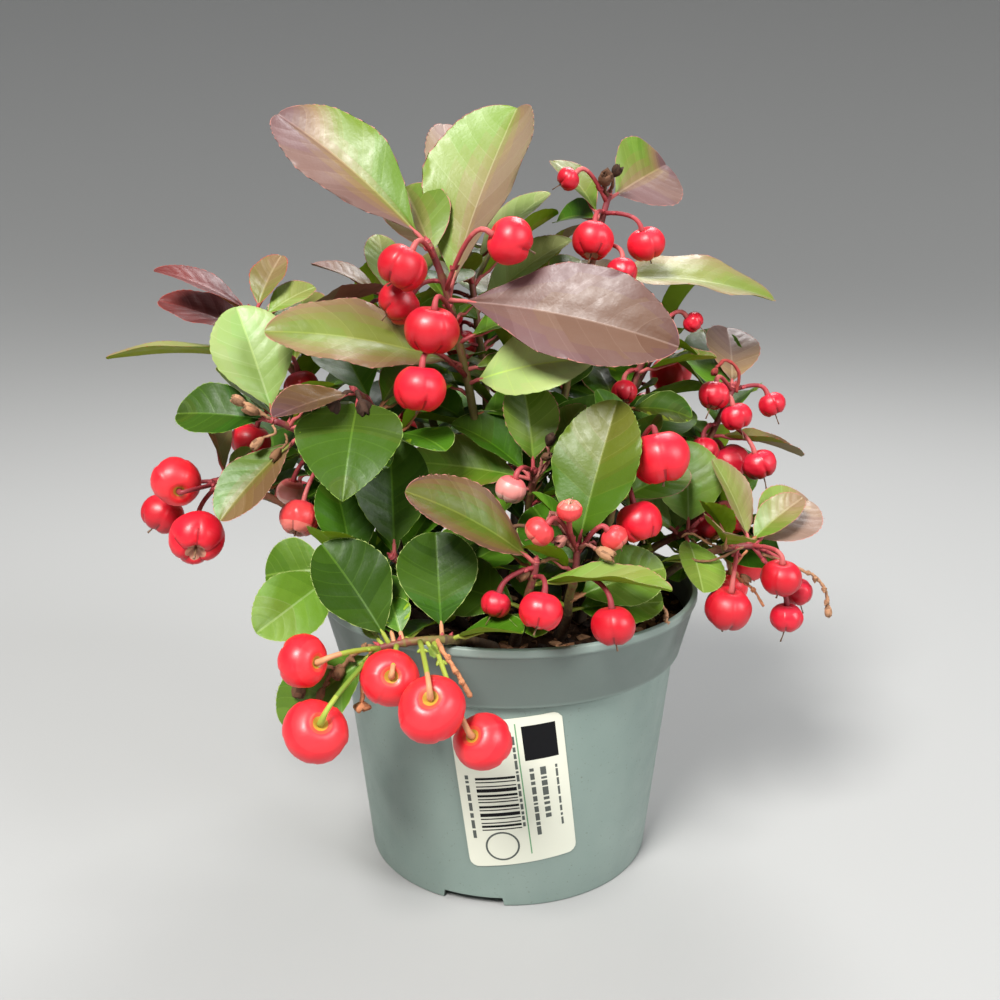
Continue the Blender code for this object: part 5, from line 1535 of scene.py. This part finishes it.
berry_mats, shapes = [], []
for skin, colours in BERRY_SKINS.items():
    # Painted shade: the grooves, and on deep berries the star, get a darkened copy of the lowest skin
    # colour.
    groove = tuple(c * GROOVE_PAINTED_SHADE for c in colours[4])
    star = groove if skin == "deep" else BERRY_STAR
    for i, colour in enumerate(colours + [star, BERRY_THREAD, groove]):
        coat = 0.08 if i < STAR_ZONE else 0.0
        mat, nodes, shader = material("berry_%s_%d" % (skin, i), colour, 0.3, 0.5, coat)
        shader.inputs["Coat Roughness"].default_value = 0.25
        nodes.links.new(spread_of(nodes, pattern(nodes, 300, 3), 0.32, 0.50), shader.inputs["Roughness"])
        dents = bump(nodes, shader, pattern(nodes, 650, 3), 0.10, 0.5)
        if skin in WRINKLED:
            bump(nodes, shader, pattern(nodes, 420, 1), 0.35, 0.8, dents)
        berry_mats.append(mat)
for i in range(len(BERRY_SKINS) * BERRY_KINDS):
    number = i // BERRY_KINDS
    skin = list(BERRY_SKINS)[number]
    thread = 0.34 if skin == "small" else 0.04 + 0.1 * (i % BERRY_KINDS)
    obj = berry_shape("berry_%02d" % i, 0.7 if skin == "ringed" else 1.0, thread, BERRY_SEEDS + i,
                      0.022 if skin in WRINKLED else 0.006)
    zones, marks = np.zeros(len(obj.data.polygons), int), obj.data.attributes["zone"].data
    marks.foreach_get("value", zones)
    marks.foreach_set("value", zones + number * len(berry_mats) // len(BERRY_SKINS))
    shapes.append(obj)
tree, start, end, keys = group_of("hung_berries", {"Berries": "Collection", "Size": "Float"})
named = {key: node(tree, "GeometryNodeInputNamedAttribute", {0: key}, data_type=kind).outputs[0]
         for key, kind in (("turn", "FLOAT_VECTOR"), ("wide", "FLOAT"), ("sort", "INT"))}
picked = node(tree, "GeometryNodeCollectionInfo",
              {"Collection": start.outputs["Berries"], "Separate Children": True, "Reset Children": True})
scaled = node(tree, "ShaderNodeMath", {0: named["wide"], 1: start.outputs["Size"]}, operation="MULTIPLY")
hung = node(tree, "GeometryNodeInstanceOnPoints",
            {"Points": start.outputs["Geometry"], "Instance": picked.outputs[0], "Pick Instance": True,
             "Instance Index": named["sort"], "Rotation": named["turn"], "Scale": scaled.outputs[0]})
painted_end(tree, hung.outputs[0], "zone", berry_mats, end)
host = finish_mesh("berry_spots", [spot[2] for spot in berry_spots], [])
turns, widths, sorts = [], [], []
for name, look, _, up, size, spin, chance, family in berry_spots:
    turn = up.to_track_quat("Z", "Y").to_matrix() @ Euler((0, 0, spin)).to_matrix()
    turns += list(turn.to_euler())
    widths.append(size * MM)
    skin = list(BERRY_SKINS).index(skin_of(name, look, size, family, chance))
    sorts.append(skin * BERRY_KINDS + (1 if (chance * 10) % 1 < 0.5 else 0))
for key, kind, field, values in (("turn", "FLOAT_VECTOR", "vector", turns),
                                 ("wide", "FLOAT", "value", widths), ("sort", "INT", "value", sorts)):
    host.data.attributes.new(key, kind, "POINT").data.foreach_set(field, values)
group = shelf("berry_shapes", shapes)
berries = run_group("berries", host, tree, keys, {"Berries": group, "Size": 1.0})
clear_shelf(group)
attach(berries, "root")

# What has withered stays on: brown shrivelled flowers and empty calyces on curled dry stalks, dark
# woody capsules, and a few dead threads that hang over the rim. Places are offsets from a shoot's tip.
DRY_SIDES, DRY_SEEDS, CRUMPLE, CURL = 10, 500, 0.13, 0.12
CUP_OUT = ((0.0, 0.30), (0.15, 0.62), (0.4, 0.95), (0.7, 1.0), (0.95, 0.78), (1.0, 0.55))
CUP_IN = ((0.9, 0.30), (0.5, 0.18))     # share of its length, share of its half width
THREAD_SIDES, THREAD_SEEDS, THREAD_STEPS, THREAD_SHAKE = 6, 560, 6, 0.12
DRY_COLOURS = [(.055, .028, .018), (.130, .062, .034), (.240, .120, .060), (.400, .210, .115),
               (.400, .150, .120), (.560, .230, .110), (.340, .050, .045)]
WITHERED = [                            # shoot, where, which way it opens, length, width, colour
    ("left_mid", (-3.0, -2.0, 2.2), (-0.6, -0.4, 0.4), 4.2, 2.8, 3),
    ("left_mid", (-6.0, -2.5, 4.4), (-0.8, -0.2, 0.5), 3.8, 2.6, 3),
    ("left_mid", (-2.0, -3.0, -3.6), (-0.6, -0.4, -0.5), 4.0, 2.4, 3),
    ("left_mid", (2.0, -3.0, -6.5), (-0.5, -0.5, -0.6), 3.6, 2.2, 2),
    ("left_front", (-4.0, -3.0, -2.2), (-0.35, -0.5, -0.9), 4.8, 4.2, 0),
    ("left_front", (1.6, -3.0, -1.8), (0.35, -0.5, -0.8), 4.8, 4.2, 0),
    ("right_top", (-1.4, -2.5, 2.6), (0.0, -0.6, 0.5), 4.6, 4.0, 1),
    ("right_top", (0.8, -2.0, 5.0), (0.5, -0.3, 0.8), 3.2, 2.6, 0),
    ("front_mid", (-5.0, -2.5, 7.4), (-0.3, -0.7, 0.5), 4.4, 3.4, 4),
    ("front_mid", (-3.2, -3.0, 4.0), (-0.5, -0.8, -0.2), 4.0, 3.0, 4),
    ("front_mid", (4.2, -3.0, 1.0), (0.8, -0.5, -0.3), 4.8, 3.2, 3),
    ("front_mid", (-17.0, -2.0, 6.0), (-1.0, -0.1, 0.1), 5.6, 3.2, 1),
    ("front_mid", (-11.0, -3.0, -4.0), (-0.8, -0.4, -0.5), 4.0, 2.8, 2),
    ("centre", (3.4, -2.0, 7.0), (0.3, -0.5, 0.8), 3.8, 2.6, 0),
    ("centre", (2.0, -2.0, 4.0), (0.5, -0.6, 0.3), 3.4, 2.4, 1),
    ("over_rim", (-12.6, -2.5, -8.6), (-0.1, -0.3, -1.0), 4.4, 3.2, 2),
    ("over_rim", (-18.2, -2.5, -6.6), (-0.1, -0.3, -1.0), 4.4, 3.2, 1),
    ("over_rim", (-8.0, -2.0, -3.6), (-0.4, -0.6, -0.5), 3.6, 2.6, 2),
    ("over_rim", (-3.7, -3.5, -12.0), (0.0, -0.2, -1.0), 2.0, 4.2, 5),
    ("right_low", (19.8, -2.0, -15.4), (0.1, -0.2, -1.0), 3.4, 1.8, 3),
    ("right_low", (-4.0, -4.0, -6.6), (0.7, -0.3, -0.6), 3.0, 2.0, 3),
    ("right_back", (-5.4, -2.0, 6.2), (-0.4, -0.3, -0.9), 2.2, 2.2, 6)]
THREADS = [                             # shoot, thickness, colour, points on the way
    ("left_mid", 0.35, 3, [(0, 0, 0), (-1.5, -1.4, 1.4), (-3.0, -2.0, 2.2)]),
    ("left_mid", 0.35, 3, [(-1, -1, 1), (-3.6, -2, 3.4), (-6.0, -2.5, 4.4)]),
    ("left_mid", 0.35, 3, [(0, -1, -1), (0.8, -2.6, -2.6), (-2.0, -3.0, -3.6)]),
    ("left_mid", 0.35, 2, [(3, -1, -3), (3.6, -2.6, -5.2), (2.0, -3.0, -6.5)]),
    ("left_front", 0.6, 0, [(0, 0, 0), (-2.4, -2.2, -0.4), (-4.0, -3.0, -2.2)]),
    ("left_front", 0.6, 0, [(0, 0, 0), (1.0, -2.0, -0.4), (1.6, -3.0, -1.8)]),
    ("right_top", 0.5, 1, [(0, 0, 0), (-1.0, -1.6, 0.8), (-1.4, -2.5, 2.6)]),
    ("right_top", 0.45, 1, [(0, 0, 0), (0.8, -1.4, 2.6), (0.8, -2.0, 5.0)]),
    ("front_mid", 0.5, 4, [(-0.5, 0, 0), (-3.0, -1.4, 4.2), (-5.0, -2.5, 7.4)]),
    ("front_mid", 0.5, 4, [(-0.5, 0, -0.5), (-2.0, -2.0, 1.8), (-3.2, -3.0, 4.0)]),
    ("front_mid", 0.5, 4, [(0, 0, 0), (2.0, -2.0, 1.8), (4.2, -3.0, 1.0)]),
    ("front_mid", 0.5, 1, [(0, 0, 0), (-7, -1, 3.4), (-12, -1.4, 6.2), (-17.0, -2.0, 6.0)]),
    ("front_mid", 0.5, 2, [(-1, 0, -3), (-5, -2, -1.6), (-8, -2.6, -2.0), (-11.0, -3.0, -4.0)]),
    ("centre", 0.45, 4, [(0, 0, -2), (3.6, -1, 2.6), (3.4, -2.0, 7.0)]),
    ("centre", 0.4, 4, [(0, 0, -3), (1.6, -1, 0.6), (2.0, -2.0, 4.0)]),
    ("over_rim", 0.55, 2, [(0, 0, 0), (-2.0, -1.6, 1.2), (-5.8, -2.2, -1.0), (-8.2, -2.4, -3.6),
                           (-10.6, -2.6, -5.0), (-12.6, -2.5, -8.6)]),
    ("over_rim", 0.5, 3, [(-9.6, -2.4, -4.2), (-12.2, -2.8, -3.2), (-15.8, -2.8, -4.4),
                          (-18.2, -2.5, -6.6)]),
    ("over_rim", 0.62, 5, [(-0.5, -0.6, 0), (-1.6, -2.4, -1.0), (-3.0, -3.2, -6.4), (-3.7, -3.5, -12.0)]),
    ("over_rim", 0.62, 5, [(13.5, 2, 1.6), (15.6, -3.0, 0.0), (17.8, -5.0, -2.6), (19.8, -5.6, -6.0),
                           (21.6, -4.6, -10.0)]),
    ("right_low", 0.4, 3, [(2, -1, -2), (7.5, -3.5, -3.4), (12.7, -3.0, -6.0), (15.8, -2.4, -7.6),
                           (18.7, -2.2, -11.4), (19.8, -2.0, -15.4)]),
    ("right_low", 0.35, 5, [(-2, -1, -1), (-6.2, -4.0, -5.0), (-4.0, -4.4, -8.0), (-0.6, -4.6, -10.6),
                            (2.4, -4.2, -15.2)]),
    ("right_low", 0.35, 2, [(-3, -1, 0), (-9.0, -3.4, -2.0), (-14.0, -3.6, -3.2), (-17.6, -3.0, -2.4)]),
    ("right_low", 0.3, 2, [(-9, -1, 0), (-12.0, -3.4, 1.4), (-17.4, -3.6, 4.4), (-19.6, -3.0, 3.2)]),
    ("right_front", 0.45, 3, [(3, -1, -26), (6.9, -7, -33.0), (9.4, -8.6, -36.4), (9.0, -9.6, -39.6),
                              (6.0, -9.4, -41.4)]),
    ("right_back", 0.5, 6, [(0.9, -1, -0.9), (1.0, -1.6, 5.0), (-2.6, -2.0, 8.4), (-5.4, -2.0, 6.2)])]


@functools.cache
def dry_material(key):
    """Rough brown of a withered part, in the colour and shade of the key, made once."""
    tone, shade = key
    colour = tuple(c * (1 - 0.22 * shade) for c in DRY_COLOURS[tone])
    mat, nodes, shader = material("withered_%d_%d" % key, colour, 0.8, 0.2)
    bump(nodes, shader, pattern(nodes, 1400, 4), 0.25, 0.8)
    return mat


def dry_cup(foot, way, long, wide, rng):
    """Points and faces of a withered flower: a crumpled cup, open to a hollow at its end."""
    n = DRY_SIDES
    line, radii = [foot + way * (long * s) for s, _ in CUP_OUT], [wide / 2 * w for _, w in CUP_OUT]
    points, faces = pipe(line, radii, n)
    lip, first = len(points) - n, len(points)
    for s, w in CUP_IN:
        points += ring(foot + way * (long * s), way, wide / 2 * w, n)
    shift = min(range(n), key=lambda k: (points[first + k] - points[lip]).length)
    faces.pop()
    for a, b, s in ((lip, first, shift), (first, first + n, 0)):
        faces += [(a + k, a + (k + 1) % n, b + (k + 1 + s) % n, b + (k + s) % n) for k in range(n)]
    faces.append(tuple(range(first + n, first + 2 * n)))
    crumple = [scatter(rng) * (CRUMPLE * wide) for _ in range(n)]
    for k, p in enumerate(points):
        share = (p - foot).dot(way) / long
        curl = way * (CURL * long * math.sin(k * 2.5) * share)
        points[k] = p + crumple[k % n] * (0.4 + 0.6 * share) + curl
    return points, faces


def smooth_line(knots, steps):
    """Points of a curve that passes through all the knots."""
    line = []
    for i in range(len(knots) - 1):
        a, b, c, d = (knots[max(0, min(len(knots) - 1, i + k))] for k in (-1, 0, 1, 2))
        for k in range(steps):
            t = k / steps
            squared, cubed = 2 * a - 5 * b + 4 * c - d, 3 * b - a - 3 * c + d
            line.append(0.5 * (2 * b + (c - a) * t + squared * t ** 2 + cubed * t ** 3))
    return line + [knots[-1]]


withered = Sheets()
for number, (name, at, way, long, wide, tone) in enumerate(WITHERED):
    rng = random.Random(DRY_SEEDS + number)
    foot = Vector(SHOOTS[name]["tip"]) + Vector(at)
    points, faces = dry_cup(foot, Vector(way).normalized(), long, wide, rng)
    withered.add(points, faces, [(tone, rng.choice((0, 0, 1, 2))) for _ in faces])
for number, (name, thick, tone, spots) in enumerate(THREADS):
    rng = random.Random(THREAD_SEEDS + number)
    line = smooth_line([Vector(SHOOTS[name]["tip"]) + Vector(p) for p in spots], THREAD_STEPS)
    ends = (0, len(line) - 1)
    line = [p + scatter(rng) * (0 if i in ends else THREAD_SHAKE) for i, p in enumerate(line)]
    points, faces = pipe(line, [thick * rng.uniform(0.8, 1.25) for _ in line], THREAD_SIDES)
    withered.add(points, faces, [(tone, rng.choice((0, 0, 1))) for _ in faces])
    for p in line[8:-2:5]:
        if len(spots) > 4:
            way = Vector((rng.uniform(-1, 1), rng.uniform(-1, 0), rng.uniform(-1, 1))).normalized()
            bud(withered, p, way, 1.8, 0.8, [(tone, 0), (tone, 1)], 6)
withered.piece("withered_flowers", dry_material, "stem_bark")
